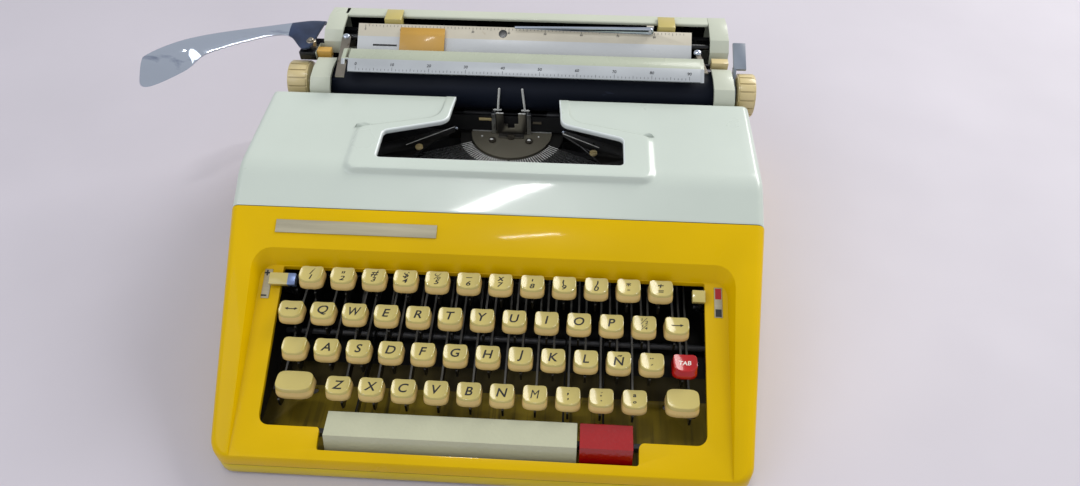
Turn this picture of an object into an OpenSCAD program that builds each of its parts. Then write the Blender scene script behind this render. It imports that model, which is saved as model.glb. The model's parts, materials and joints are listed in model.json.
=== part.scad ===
// Portable manual typewriter: moulded two-tone case, four rows of keys, half-round
// type segment with its fan of type bars, and a carriage with platen, knobs and lever.
// Millimetres. +X is the typist's right, +Y is away from the typist, +Z is up.
// The origin is the middle of the case, on the table.

/* [Case] */
// overall width of the case
body_w = 328; // [280:1:380]
// overall depth of the case
body_d = 313; // [290:1:340]
// height of the rubber feet
foot_h = 2.5; // [2:0.5:6]
// radius of a rubber foot
foot_r = 9; // [6:0.5:14]
// height of the base pan
pan_h = 9.5; // [7:0.5:16]
// wall of the moulded housings
wall = 2.4; // [1.6:0.1:4]
// corner radius of the case seen from above
corner_r = 10; // [6:0.5:20]
// how much narrower each side of the case is at the front
front_taper = 9.5; // [0:0.5:16]
// radius of the rolled upper edges of the case
edge_r = 5; // [3:0.5:7]
// radius of the rolled front edge of the deck
front_r = 4; // [3:0.5:6]
// side-to-side spacing of the four fixing holes in the base
base_hole_x = 220; // [160:5:260]
// front-to-rear spacing of the four fixing holes in the base
base_hole_y = 200; // [140:5:240]
// radius of a fixing hole in the base
base_hole_r = 2.25; // [1.5:0.25:4]

/* [Keyboard housing] */
// slope of the deck, in degrees
deck_slope = 27.5; // [24:0.5:31]
// distance of the cover seam in front of the middle
seam_y = 24.6; // [18:0.2:32]
// height of the deck at the seam
seam_z = 90.7; // [86:0.5:96]
// slope of the sunk keyboard tray, in degrees
tray_slope = 23.2; // [20:0.1:28]
// distance of the tray's rear wall in front of the middle
tray_rear = 51; // [45:0.5:56]
// height of the tray at its rear wall
tray_rear_z = 66.5; // [62:0.5:70]
// half of the tray's width
tray_half = 142; // [136:0.5:148]
// half of the key opening's width
well_half = 128.5; // [124:0.5:132]
// distance of the key opening's front edge in front of the middle
well_front = 139.4; // [132:0.1:144]
// corner radius of the key opening
well_r = 6; // [2:0.5:9]
// distance of the space bar's notch in front of the middle
notch_front = 151; // [146:0.1:153]
// corner radius of the sunk tray
tray_r = 8; // [4:0.5:12]
// height of the case side walls under the cover's skirt
side_z = 58; // [45:1:70]
// height of the case behind the cover
rear_z = 73; // [60:0.5:73.5]

/* [Cover] */
// height of the cover's flat top
cover_z = 104; // [103:0.25:106]
// distance of the cover's rear edge behind the middle
cover_rear = 75; // [70:0.5:75.5]
// half of the wide part of the opening over the type bars
basket_half = 78; // [70:0.5:86]
// half of the narrow part of that opening
notch_half = 34.5; // [30:0.5:42]
// height of the raised panel round the opening
panel_h = 2; // [1:0.25:3]
// distance of the opening's front edge behind the middle
basket_front = 9.2; // [8:0.1:12]
// radius of the soft crease across the cover
crease_r = 30; // [20:1:60]
// gap between the cover and the case
cover_gap = 0.4; // [0.3:0.1:1]

/* [Keys] */
// side-to-side pitch of the keys
key_pitch = 19.05; // [18:0.05:20]
// front-to-rear pitch of the rows
row_pitch = 19.05; // [18:0.05:20]
// rise from one row to the next
row_rise = 10.3; // [8:0.1:12]
// place of the leftmost number key
first_key_x = -108.1; // [-112:0.1:-104]
// distance of the number row in front of the middle
first_key_y = 61.5; // [60:0.5:63]
// height of the number row's key tops
first_key_z = 72; // [70:0.25:76]
// width of a key cap at its foot
cap_w = 16.2; // [14:0.1:17]
// depth of a key cap at its foot
cap_d = 16; // [14:0.1:17]
// height of a key cap
cap_h = 9; // [7:0.25:11]
// taper of a key cap's side, in all
cap_taper = 1.2; // [0.5:0.1:2]
// radius of the hollow in a key top
dish_r = 22; // [16:1:40]
// thickness of a key lever
lever_t = 1.2; // [0.8:0.1:1.6]
// height of a key lever
lever_h = 7; // [5:0.5:9]
// length of a key stem below the cap
stem_l = 10; // [8:0.5:12]
// distance of the key lever shaft behind the middle
fulcrum_y = 45; // [40:0.5:50]
// height of the key lever shaft
fulcrum_z = 47; // [44:0.5:48]
// radius of the key lever shaft
fulcrum_r = 2; // [1.5:0.1:2.4]
// gap where a cap, its stem and its lever rest on each other
seat = 0.05; // [0.02:0.01:0.1]
// running clearance of a shaft in its hole
run = 0.06; // [0.02:0.01:0.1]
// width of the space bar
space_w = 144; // [120:1:150]
// place of the space bar's left end
space_x = -89; // [-92:0.5:-86]
// width of the repeat spacer
repeat_w = 30; // [24:1:34]

/* [Type basket] */
// place of the segment, left to right
seg_x = 1.45; // [0:0.05:3]
// distance of the segment's centre behind the middle
seg_y = 82; // [80:0.5:83]
// height of the segment's upper face
seg_top = 70; // [69:0.25:70.5]
// thickness of the segment
seg_t = 8; // [7:0.25:8.5]
// radius of the plain middle of the segment
seg_core = 29; // [26:0.5:30]
// outer radius of the segment
seg_r = 37; // [35.5:0.25:38]
// radius of the arc of type bar pivots
pivot_r = 33; // [32:0.25:34]
// number of type bar slots
bars = 44; // [30:2:46]
// angle between neighbouring type bars, in degrees
bar_step = 3.05; // [2.9:0.05:3.2]
// length of a type bar from pivot to type
bar_len = 48.7; // [44:0.1:49]
// thickness of a type bar
bar_t = 0.7; // [0.5:0.05:0.8]
// height of a type bar
bar_h = 5; // [4:0.25:5.5]
// width of a segment slot
slot_w = 1.1; // [0.9:0.05:1.2]
// height of the type above the bar's centre line
type_h = 6; // [5:0.25:6.5]

/* [Ribbon] */
// distance of the ribbon spools from the middle
spool_x = 108; // [104:0.5:112]
// distance of the spools behind the middle
spool_y = 18; // [14:0.5:22]
// radius of a spool's flanges
spool_r = 22; // [18:0.5:24]
// height of the ribbon
ribbon_h = 12.7; // [10:0.1:13]

/* [Carriage] */
// how far right of the middle the carriage stands
cx = 8.2; // [0:0.1:20]
// distance of the platen's axis behind the middle
platen_y = 100; // [99:0.25:101]
// height of the platen's axis
platen_z = 95; // [94.5:0.25:96]
// radius of the platen
platen_r = 15.5; // [15:0.1:15.7]
// half of the platen's length
platen_half = 134; // [128:0.5:134.5]
// radius of the platen's shaft
shaft_r = 4; // [3:0.25:5]
// how far an end cover reaches beyond the platen
end_reach = 12.4; // [11:0.1:16]
// width of an end cover
end_w = 17; // [14:0.1:17.5]
// gap between the left knob and its end cover
knob_gap = 4.8; // [1:0.1:12]
// radius of a platen knob
knob_r = 15; // [12:0.25:16]
// length of a platen knob
knob_l = 14; // [10:0.5:18]
// height of the carriage's rear bar
bar_top = 130; // [128:0.5:134]

/* [Hidden] */
$fn = 48;
tan_deck = tan(deck_slope);
tan_tray = tan(tray_slope);
front = -body_d / 2;
half_w = body_w / 2;
case_z = foot_h + pan_h;
floor_z = foot_h + 1.5;
front_half = half_w - front_taper;
taper_y = 1 - seam_y;
lean = atan2(front_taper, taper_y - front - corner_r);
function deck_z(y) = seam_z + tan_deck * (y + seam_y);
function tray_z(y) = tray_rear_z + tan_tray * (y + tray_rear);
crease_y = (cover_z - seam_z) / tan_deck - seam_y;
function row_y(r) = -first_key_y - row_pitch * r;
function row_z(r) = first_key_z - row_rise * r;
row_x = [first_key_x, first_key_x + key_pitch / 2, first_key_x + key_pitch * 3 / 4,
         first_key_x + key_pitch * 5 / 4];
row_n = [12, 11, 11, 10];
home_key = 5;
lever_x0 = first_key_x;
pivot_z = seg_top - 3.5;
ribbon_z = seg_top + 1.8;
ribbon_y = 80.6;
post_x = 94;
post_r = 1.5;
post_y = ribbon_y - 0.3 - post_r;
spool_z = ribbon_z - 1.8;
pack_r = 17;
vib_x = 11;
plate_x = 137;
// half widths of the carriage over its end covers and between the frame's end plates
end_half = platen_half + end_reach;
fr = platen_half + 1.5;
fr_out = fr + 2.5;
rail_z = bar_top - 15;
spacer_end = space_x + space_w + 1.6 + repeat_w;
bail_pivot = [122, 104];
pivot_out = 3.8;
pivot_y = 112;
block_z = platen_z + knob_r + 0.8;
release_pivot = [109, 98];
rail_y = 128;

// a profile in Y and Z, drawn out along X
module yz(x0, x1) { translate([x0, 0, 0]) rotate([90, 0, 90]) linear_extrude(x1 - x0) children(); }
// a profile in X and Z, drawn out along Y
module xz(y0, y1) { translate([0, y1, 0]) rotate([90, 0, 0]) linear_extrude(y1 - y0) children(); }
module rod_x(x0, x1, y, z, r) {
  translate([x0, y, z]) rotate([0, 90, 0]) cylinder(h = x1 - x0, r = r);
}
module block(x0, x1, y0, y1, z0, z1) {
  translate([x0, y0, z0]) cube([x1 - x0, y1 - y0, z1 - z0]);
}
// a box with round upright corners
module rounded(w, y0, y1, z0, z1, r) {
  block(-w / 2 + r, w / 2 - r, y0, y1, z0, z1);
  block(-w / 2, w / 2, y0 + r, y1 - r, z0, z1);
  for (x = [-w / 2 + r, w / 2 - r], y = [y0 + r, y1 - r])
    translate([x, y, z0]) cylinder(h = z1 - z0, r = r);
}
// a box whose long upper edges are round
module round_top(w, y0, y1, z0, z1, r) {
  block(-w / 2, w / 2, y0, y1, z0, z1 - r);
  block(-w / 2 + r, w / 2 - r, y0, y1, z1 - r, z1);
  for (x = [-w / 2 + r, w / 2 - r])
    translate([x, y1, z1 - r]) rotate([90, 0, 0]) cylinder(h = y1 - y0, r = r);
}

// corner points [x, y, radius] of an outline, anticlockwise, moved outwards by e
function unit(v) = v / norm(v);
function side(p, i) = unit([p[(i + 1) % len(p)][0] - p[i][0], p[(i + 1) % len(p)][1] - p[i][1]]);
function grown(p, e) = [for (i = [0:len(p) - 1])
  let (u = side(p, (i + len(p) - 1) % len(p)), v = side(p, i), n = [u[1], -u[0]], m = [v[1], -v[0]],
       k = e / (1 + n * m), turn = u[0] * v[1] - u[1] * v[0])
  [p[i][0] + k * (n[0] + m[0]), p[i][1] + k * (n[1] + m[1]), p[i][2] + (turn > 0 ? e : -e)]];
// the same outline with its corners rounded, n steps to a corner
function soft(p, n) = [for (i = [0:len(p) - 1])
  let (u = side(p, (i + len(p) - 1) % len(p)), v = side(p, i), s = sign(u[0] * v[1] - u[1] * v[0]),
       t = acos(u * v), r = p[i][2], c = [p[i][0], p[i][1]] - u * r * tan(t / 2) + s * r * [-u[1], u[0]])
  for (j = [0:n]) let (a = t * j / n) c + s * r * [u[1] * cos(a) + u[0] * sin(a) * s,
                                                  -u[0] * cos(a) + u[1] * sin(a) * s]];
// a closed body through rings of as many points each, given from the bottom up
module rings(r) {
  n = len(r[0]);
  k = len(r) - 1;
  polyhedron(points = [for (a = r) each a], faces = concat(
    [[for (i = [0:n - 1]) i]], [[for (i = [n - 1:-1:0]) k * n + i]],
    [for (j = [0:k - 1], i = [0:n - 1])
      [j * n + i, (j + 1) * n + i, (j + 1) * n + (i + 1) % n, j * n + (i + 1) % n]]));
}
// an outline that widens by the steps [e, z], level
module widening(p, steps, n) rings([for (q = steps) [for (c = soft(grown(p, q[0]), n)) [c[0], c[1], q[1]]]]);

// right half of the case's upright sections, e inside its outer skin: half width, distance and top
function case_top(y, e) = deck_z(min(y, taper_y)) - e / cos(deck_slope);
function case_sections(e) = let (r = corner_r - e) [for (c = concat(
  [for (a = [90:-18:0]) let (t = max(a, lean))
    [front_half - corner_r + r * cos(t), front + corner_r - r * sin(t)]],
  [for (t = [lean, 0]) [half_w - corner_r + r * cos(t), taper_y - r * sin(t)]],
  [for (t = [0:18:90]) [half_w - corner_r + r * cos(t), -front - corner_r + r * sin(t)]]))
  [c[0], c[1], case_top(c[1], e)]];
// the outline of the case seen from above
function plan(e) = let (c = case_sections(e), n = len(c) - 1)
  concat([for (i = [0:n]) [c[i][0], c[i][1]]], [for (i = [n:-1:0]) [-c[i][0], c[i][1]]]);
// a body through upright sections with rolled upper edges
module hood(c, r, z0) rings([for (i = [len(c) - 1:-1:0]) let (x = c[i][0], y = c[i][1], z = c[i][2])
  concat([[-x, y, z0], [x, y, z0]], [for (a = [0:22.5:90]) [x - r + r * cos(a), y, z - r + r * sin(a)]],
         [for (a = [90:-22.5:0]) [-x + r - r * cos(a), y, z - r + r * sin(a)]])]);

module base_pan() color("#c9a513") difference() {
  union() {
    translate([0, 0, foot_h]) linear_extrude(pan_h - 1) polygon(plan(0.3));
    translate([0, 0, foot_h]) linear_extrude(pan_h) polygon(plan(1.8));
  }
  translate([0, 0, floor_z]) linear_extrude(pan_h) polygon(plan(3.3));
  for (x = [-1, 1], y = [-1, 1])
    translate([x * base_hole_x / 2, y * base_hole_y / 2, foot_h - 1]) cylinder(h = 5, r = base_hole_r);
}

module feet() color("#222222")
  for (x = [-1, 1], y = [-1, 1])
    translate([x * (half_w - 28), y * (body_d / 2 - 24), 0]) difference() {
      cylinder(h = foot_h, r1 = foot_r - 1, r2 = foot_r);
      translate([0, 0, -1]) cylinder(h = 2.2, r = foot_r / 3);
    }

// everything behind the rolled front edge, e inside it
module behind_roll(e) {
  c = [front + front_r, deck_z(front + front_r) - front_r / cos(deck_slope)];
  r = front_r - e;
  d = (90 - deck_slope) / 4;
  f = [for (k = [1:3]) 90 - k * d];
  yz(-half_w - 1, half_w + 1) polygon(concat(
    [c + r * [-sin(f[0]), cos(f[0])] - 12 * [cos(f[0]), sin(f[0])]],
    [for (k = [0, 1]) c + r / cos(d / 2) * [-sin(f[k] - d / 2), cos(f[k] - d / 2)]],
    [c + r * [-sin(f[2]), cos(f[2])] + 60 * [cos(f[2]), sin(f[2])], [-front + 9, 200], [-front + 9, 0],
     [front - 9, 0]]));
}

// the sunk tray: an outline on the tray's plane that widens upwards, e outside it and d below it
tray_lean = tan(18);
tray_edge = [[-tray_half, front - 20, 1], [tray_half, front - 20, 1], [tray_half, -tray_rear, tray_r],
             [-tray_half, -tray_rear, tray_r]];
module sunk(e, d) rings([for (h = [-d, 40]) [for (c = soft(grown(tray_edge, e + h * tray_lean), 5))
  [c[0], c[1], tray_z(c[1]) + h]]]);

// the front housing: sloped deck, sunk tray, key opening and the side and rear walls
module keyboard_shell() color("#e0b414") difference() {
  intersection() {
    hood(case_sections(0), edge_r, case_z);
    behind_roll(0);
  }
  difference() {
    intersection() {
      hood(case_sections(wall), edge_r - wall, case_z - 1);
      behind_roll(wall);
    }
    sunk(wall, wall + 0.6);
  }
  // open under the cover and behind it
  yz(-half_w - 2, half_w + 2)
    polygon([[-seam_y, 150], [-seam_y, side_z], [cover_rear + 1, side_z], [cover_rear + 1, rear_z],
             [-front + 5, rear_z], [-front + 5, 150]]);
  sunk(0, 0);
  // the opening for the keys, with its notch for the space bar
  translate([0, 0, case_z - 2]) linear_extrude(100)
    polygon(soft([[-well_half, -well_front, well_r], [space_x - 3.4, -well_front, 1.5],
                  [space_x - 3.4, -notch_front, 1.5], [spacer_end + 3.4, -notch_front, 1.5],
                  [spacer_end + 3.4, -well_front, 3], [well_half, -well_front, well_r],
                  [well_half, -tray_rear - 0.4, 1], [-well_half, -tray_rear - 0.4, 1]], 5));
}

module trim_plates() {
  // bare name plate on the deck
  color("#b9b9b6") translate([0, -seam_y, seam_z]) rotate([deck_slope, 0, 0])
    block(-133.5, -34.5, -16.3, -8.1, 0, 0.6);
  // scale strips beside the touch lever and the ribbon selector
  color("#b9b9b6") for (x = [-139.5, 134]) translate([0, -tray_rear, tray_rear_z]) rotate([tray_slope, 0, 0])
    block(x, x + 4.8, -21.5, -3, 0, 0.4);
}

// upright sections of the cover, e inside its outer skin, from y0 to its rear edge
function cover_sections(e, y0, y1) = let (c = crease_y + crease_r * tan(deck_slope / 2), r = crease_r - e,
  x = half_w - 0.3 - e) concat([[x, y0, deck_z(y0) - e / cos(deck_slope)]],
  [for (k = [5:-1:0]) let (f = deck_slope * k / 5) [x, c - r * sin(f), cover_z - crease_r + r * cos(f)]],
  [[x, y1, cover_z - e]]);
panel_edge = [[-93, -1.5, 6], [93, -1.5, 6], [93, 37.5, 6], [43, 49.5, 9], [40, cover_rear + 12, 1],
              [-40, cover_rear + 12, 1], [-43, 49.5, 9], [-93, 37.5, 6]];
basket_edge = [[-basket_half, basket_front, 3], [basket_half, basket_front, 3], [basket_half, 35, 4],
               [notch_half + 2.8, 48, 8], [notch_half, cover_rear + 12, 1],
               [-notch_half, cover_rear + 12, 1],
               [-notch_half - 2.8, 48, 8], [-basket_half, 35, 4]];

module ribbon_cover() color("#cfd9cb") {
  y0 = -seam_y + cover_gap;
  top = cover_z + panel_h;
  difference() {
    union() {
      hood(cover_sections(0, y0, cover_rear), edge_r, side_z + cover_gap);
      // raised panel round the opening, with sloping borders
      intersection() {
        rings([for (q = [[7.5, cover_z - 4], [7.5, cover_z - 1], [0, top]])
          [for (c = soft([for (v = grown(panel_edge, q[0])) [v[0], max(v[1], -4.2), v[2]]], 5))
            [c[0], c[1], q[1]]]]);
        block(-half_w, half_w, -20, cover_rear, cover_z - 10, top + 1);
      }
    }
    hood(cover_sections(wall, y0 - 1, cover_rear + 1), edge_r - wall, side_z - 1);
    // opening over the type bars, narrow towards the platen, with a rolled rim
    widening(basket_edge, [[0, cover_z - 10], [0, top - 2.6], [0.8, top - 1], [3.4, top + 0.6]], 4);
  }
}

// the chassis
module chassis_sides() color("#3a3d40") for (s = [-1, 1]) scale([s, 1, 1]) {
  yz(plate_x, plate_x + 2)
    polygon([[-135, floor_z], [-135, 13], [-100, 30], [-62, 48], [-45, 56], [-25, 68], [60, 68],
             [70, rear_z], [140, rear_z], [140, floor_z]]);
  rod_x(well_half - 4, plate_x, -52, 44, 1.5);
}

module chassis_cross() color("#34373a") {
  // plate behind the segment
  block(-plate_x, plate_x, 94, 96, 26, 68);
  block(-plate_x, plate_x, 96, 108, 26, 28);
  // front tie bar
  block(-plate_x, plate_x, -132, -129, floor_z, floor_z + 5);
  // rear tie bar under the rail
  block(-plate_x, plate_x, 132, 134, 40, rear_z);
  // posts that turn the ribbon towards its spools
  for (s = [-1, 1]) scale([s, 1, 1]) {
    block(post_x - 2, post_x + 2, post_y - 2, 94, 66, 68);
    translate([post_x, post_y, 68]) cylinder(h = ribbon_z + ribbon_h - 68, r = post_r);
  }
}

module lever_shafts() color("#b4b8ba") {
  rod_x(-plate_x, plate_x, fulcrum_y, fulcrum_z, fulcrum_r);
  rod_x(-plate_x, plate_x, -60, 12, 2);
}

function lever_line(r, y) =
  fulcrum_z + (fulcrum_y - y) * (row_z(r) - cap_h - stem_l - fulcrum_z) / (fulcrum_y - row_y(r));

module lever_comb() color("#2c2e30") difference() {
  union() {
    block(-plate_x, plate_x, -19, -17, 20, 62);
    block(-plate_x, plate_x, -19, -9, 20, 22);
  }
  for (n = [-3:48]) if (n != 1 && n != 45)
    translate([lever_x0 + n * key_pitch / 4 - 1, -20, 24]) cube([2, 4, 33]);
}

module carriage_rail() color("#9da1a4") difference() {
  block(-plate_x - 2, plate_x + 2, 118, 138, rear_z, 82);
  for (y = [117, 135.5]) block(-150, 150, y, y + 3.5, 76, 79.5);
}

// the keys
// cap centred on x = 0, y = 0, with its top edge at z = 0
module cap_body(w, d, h, dish) {
  t = cap_taper;
  bow = w < 20 ? 30 : 60;
  difference() {
    intersection() {
      xz(-d, d) polygon([[-w / 2, -h], [-w / 2 + t * 0.3, -h * 0.35], [-w / 2 + t, 1], [w / 2 - t, 1],
                         [w / 2 - t * 0.3, -h * 0.35], [w / 2, -h]]);
      yz(-w, w) polygon([[-d / 2 - 0.6, -h], [-d / 2, -h * 0.4], [-d / 2 + t + 0.4, 0], [d / 2 - t - 0.6, 1],
                         [d / 2 - t * 0.4, -h * 0.4], [d / 2, -h]]);
      // bowed front, square rear
      translate([0, bow - 0.3 - d / 2, -h - 1]) cylinder(h = h + 3, r = bow);
      union() {
        translate([0, 0, -h - 1]) {
          block(-w / 2 + 2.5, w / 2 - 2.5, -d, d, 0, h + 3);
          block(-w, w, -d / 2 + 2.5, d / 2 - 2.5, 0, h + 3);
          for (x = [-w / 2 + 2.5, w / 2 - 2.5], y = [-d / 2 + 2, d / 2 - 2.5])
            translate([x, y, 0]) cylinder(h = h + 3, r = 2.5);
        }
      }
    }
    if (dish) translate([0, 0, dish_r - 1.1]) rotate([90, 0, 0]) cylinder(h = 60, r = dish_r, center = true);
  }
}

// upper edge of the lever of a row
function lever_top(r, y) = let (y0 = fulcrum_y - 6, z0 = fulcrum_z + 4, y1 = row_y(r) - 2.5,
  z1 = lever_line(r, row_y(r)) + lever_h / 2) z0 + (y0 - y) * (z1 - z0) / (y0 - y1);

module key_lever(x, r) {
  ye = row_y(r);
  ze = lever_line(r, ye);
  h = lever_h / 2;
  difference() {
    yz(x - lever_t / 2, x + lever_t / 2)
      polygon([[fulcrum_y + 6, fulcrum_z - 5], [fulcrum_y + 6, fulcrum_z + 4],
               [fulcrum_y - 6, fulcrum_z + 4], [ye - 2.5, ze + h], [ye - 2.5, ze - h + 1],
               [ye, ze - h], [fulcrum_y - 6, fulcrum_z - 5]]);
    rod_x(x - 2, x + 2, fulcrum_y, fulcrum_z, fulcrum_r + run);
  }
}
// stem that carries a cap and sits on its lever
module key_stem(x0, x1, r) {
  ye = row_y(r);
  top = row_z(r) - cap_h - seat;
  yz(x0, x1) polygon([[ye - 1.6, top], [ye - 1.6, lever_top(r, ye - 1.6) + seat],
                      [ye + 1.6, lever_top(r, ye + 1.6) + seat], [ye + 1.6, top]]);
}

module key(x, r) {
  color("#ded09b") {
    translate([x, row_y(r), row_z(r)]) cap_body(cap_w, cap_d, cap_h, true);
    key_stem(x - lever_t / 2, x + lever_t / 2, r);
  }
  color("#3a3b3c") key_lever(x, r);
}
module key_row(r, skip) for (i = [0:row_n[r] - 1]) if (i != skip) key(row_x[r] + i * key_pitch, r);

module keys_number_row() key_row(0, -1);
module keys_upper_row() key_row(1, -1);
module keys_home_row() key_row(2, home_key);
module keys_lower_row() key_row(3, -1);
module key_h() key(row_x[2] + home_key * key_pitch, 2);

module wide_key(x, dx) {
  color("#ded09b") {
    translate([x, row_y(3), row_z(3)]) cap_body(23, cap_d, cap_h, false);
    key_stem(x + dx - lever_t / 2, x + dx + 3, 3);
  }
  color("#3a3b3c") key_lever(x + dx, 3);
}
module shift_left() wide_key(lever_x0 - 2.1, -12.0);
module shift_right() wide_key(row_x[2] + 11 * key_pitch + 0.4, 4.3);
module shift_lock() key(row_x[2] - key_pitch, 2);
module tab_key() {
  x = row_x[2] + 11 * key_pitch;
  color("#c0182a") {
    translate([x, row_y(2), row_z(2)]) cap_body(cap_w, cap_d, cap_h, true);
    key_stem(x - lever_t / 2, x + lever_t / 2, 2);
  }
  color("#3a3b3c") key_lever(x, 2);
}
module backspace_key() key(row_x[1] + 11 * key_pitch, 1);
module margin_release_key() key(row_x[1] - key_pitch, 1);

// bar with a bevelled front, on arms that turn on the lower shaft
module spacer(x0, w, arms) {
  z = 28;
  difference() {
    yz(x0, x0 + w) polygon([[-148.9, 17.5], [-149.2, z - 4], [-147.6, z - 2.4], [-142, z + 0.4],
                            [-129.4, z + 2.4],
                            [-128, z + 1.3], [-127.6, 17.5]]);
    yz(x0 + 1.5, x0 + w - 1.5)
      polygon([[-147.3, 17], [-147.4, z - 4.6], [-141, z - 1.6], [-130, z + 0.1], [-129.4, 17]]);
  }
  for (x = arms) difference() {
    yz(x - lever_t / 2, x + lever_t / 2)
      polygon([[-56, 8], [-56, 16], [-66, 16], [-126, 17.3], [-130.4, 17.3], [-130.6, z - 0.1],
               [-140, z - 1.6], [-140, 18], [-120, 12], [-66, 8]]);
    rod_x(x - 2, x + 2, -60, 12, 2 + run);
  }
}
module space_bar() color("#dfe3cf")
  spacer(space_x, space_w, [lever_x0 + 6.5 * key_pitch / 4, lever_x0 + 32.5 * key_pitch / 4]);
module repeat_spacer() color("#b3142a")
  spacer(space_x + space_w + 1.6, repeat_w, [lever_x0 + 37.5 * key_pitch / 4]);

// small levers at the two sides of the keyboard
module side_lever(s, tab_x0, tab_x1) {
  ax = s * (well_half - 3);
  difference() {
    union() {
      rod_x(min(s * (plate_x - 0.3), ax), max(s * (plate_x - 0.3), ax), -52, 44, 3);
      yz(min(ax, ax + s * 1.5), max(ax, ax + s * 1.5))
        polygon([[-50, 42], [-50, 47], [-57, 60], [-57, tray_z(-57) + 2], [-63, tray_z(-63) + 2],
                 [-63, 56], [-54, 42]]);
      translate([0, -60.5, tray_z(-60.5) + 0.9]) rotate([tray_slope, 0, 0])
        block(tab_x0, tab_x1, -3.6, 3.6, 0, 4);
    }
    rod_x(-150, 150, -52, 44, 1.5 + run);
  }
}
module touch_lever() color("#d8d2c0") side_lever(-1, -134.5, -118.5);
module ribbon_selector() color("#d8d2b0") side_lever(1, 120.5, 128);

// the type basket
module slot_fan(r0, r1, z0, z1, w) for (i = [0:bars - 1])
  translate([seg_x, seg_y, 0]) rotate([0, 0, 270 + (i - 22) * bar_step])
    block(r0, r1, -w / 2, w / 2, z0, z1);

module segment() color("#4a4640") {
  difference() {
    union() {
      intersection() {
        translate([seg_x, seg_y, seg_top - seg_t]) cylinder(h = seg_t, r = seg_r);
        block(seg_x - 60, seg_x + 60, seg_y - 60, seg_y, 0, 200);
      }
      block(seg_x - 46, seg_x + 46, seg_y - 0.01, 93.7, seg_top - seg_t, seg_top - 1);
    }
    slot_fan(seg_core, seg_r + 2, seg_top - seg_t - 1, seg_top + 1, slot_w);
    for (p = [[0, -7], [-13, -11], [13, -11]])
      translate([seg_x + p[0], seg_y + p[1], seg_top - 5]) cylinder(h = 8, r = 1.5);
  }
  // the wire that all type bars turn on
  translate([seg_x, seg_y, pivot_z]) rotate([0, 0, 180 + 18]) rotate_extrude(angle = 144)
    translate([pivot_r, 0]) circle(r = 0.7, $fn = 24);
}

module segment_screws() color("#c8c8c4") for (p = [[0, -7], [-13, -11], [13, -11]])
  translate([seg_x + p[0], seg_y + p[1], 0]) {
    translate([0, 0, seg_top - 4.5]) cylinder(h = 5, r = 1.4);
    difference() {
      translate([0, 0, seg_top]) cylinder(h = 1.5, r = 2.6);
      block(-3, 3, -0.4, 0.4, seg_top + 0.8, seg_top + 3);
    }
  }

module type_bar() {
  r1 = pivot_r + bar_len;
  difference() {
    union() {
      block(pivot_r - 2.4, pivot_r + 2.4, -bar_t / 2, bar_t / 2, pivot_z - bar_h / 2, pivot_z + 1.6);
      block(pivot_r, pivot_r + 8, -bar_t / 2, bar_t / 2, pivot_z - bar_h / 2, pivot_z + 0.6);
      block(pivot_r + 7, r1 + 1, -bar_t / 2, bar_t / 2, pivot_z - bar_h / 2, pivot_z + bar_h / 2);
      block(r1 - 2, r1 + 2, -1.3, 1.3, pivot_z - 1, pivot_z + type_h);
    }
    translate([pivot_r, 5, pivot_z]) rotate([90, 0, 0]) cylinder(h = 10, r = 1.0);
  }
}
module type_bars() color("#55575a") for (i = [0:bars - 1]) if (i != 22)
  translate([seg_x, seg_y, 0]) rotate([0, 0, 270 + (i - 22) * bar_step]) type_bar();
module type_bar_h() color("#6a6c70") translate([seg_x, seg_y, 0]) rotate([0, 0, 270]) type_bar();

module type_rest() color("#202224") translate([seg_x, seg_y, 0]) {
  intersection() {
    difference() {
      translate([0, 0, 60]) cylinder(h = pivot_z - bar_h / 2 - 0.3 - 60, r = 77, $fn = 96);
      cylinder(h = 100, r = 72, $fn = 96);
    }
    linear_extrude(100) polygon([[0, 0], [-200, -45], [-200, -200], [200, -200], [200, -45]]);
  }
  for (a = [197, 343]) rotate([0, 0, a])
    block(seg_r + 0.01, 74, -2, 2, seg_top - seg_t, seg_top - seg_t + 1.6);
}

module type_guide() color("#35332f") translate([seg_x, 0, 0]) {
  // plate on the segment with an upright between two jaws
  difference() {
    block(-9, 9, seg_y - 8, seg_y - 2.8, seg_top, seg_top + 1.2);
    translate([0, seg_y - 7, seg_top - 1]) cylinder(h = 4, r = 2.9);
  }
  difference() {
    block(-10.3, 10.3, seg_y - 4, seg_y - 2.8, seg_top + 1.2, 89);
    block(-2.4, 2.4, seg_y - 5, seg_y, 76, 90);
    block(-5.2, 5.2, seg_y - 5, seg_y, 79.5, 90);
  }
}

module card_holder() color("#c4c8ca") translate([seg_x, 0, 0]) for (s = [-1, 1]) scale([s, 1, 1]) {
  block(8.8, 13, 83.1, 96, 71.5, 73);
  block(8.8, 13, 94, 96, 68, 71.5);
  block(8.8, 13, 83.1, 84.1, 71.5, 88);
  translate([9.6, 83.6, 87]) rotate([0, -5, 0]) cylinder(h = 19, r = 0.6);
}

module basket_wings() for (s = [-1, 1]) scale([s, 1, 1]) {
  color("#2d2f31") {
    difference() {
      translate([0, 0, 76.5]) linear_extrude(1.6)
        polygon([[38, 75.5], [86, 55], [89, 47], [88, 40], [66, 40], [52, 58], [38, 71]]);
      translate([60, 51, 70]) cylinder(h = 20, r = 1.5);
    }
    block(84, 88, 48, 54, 58, 76.5);
    block(84, plate_x, 48, 54, 56.5, 58);
  }
  color("#c9a860") translate([60, 51, 0]) {
    translate([0, 0, 75]) cylinder(h = 3.2, r = 1.4);
    difference() {
      translate([0, 0, 78.1]) cylinder(h = 1.4, r = 2.6);
      block(-3, 3, -0.4, 0.4, 78.8, 81);
    }
  }
}

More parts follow.
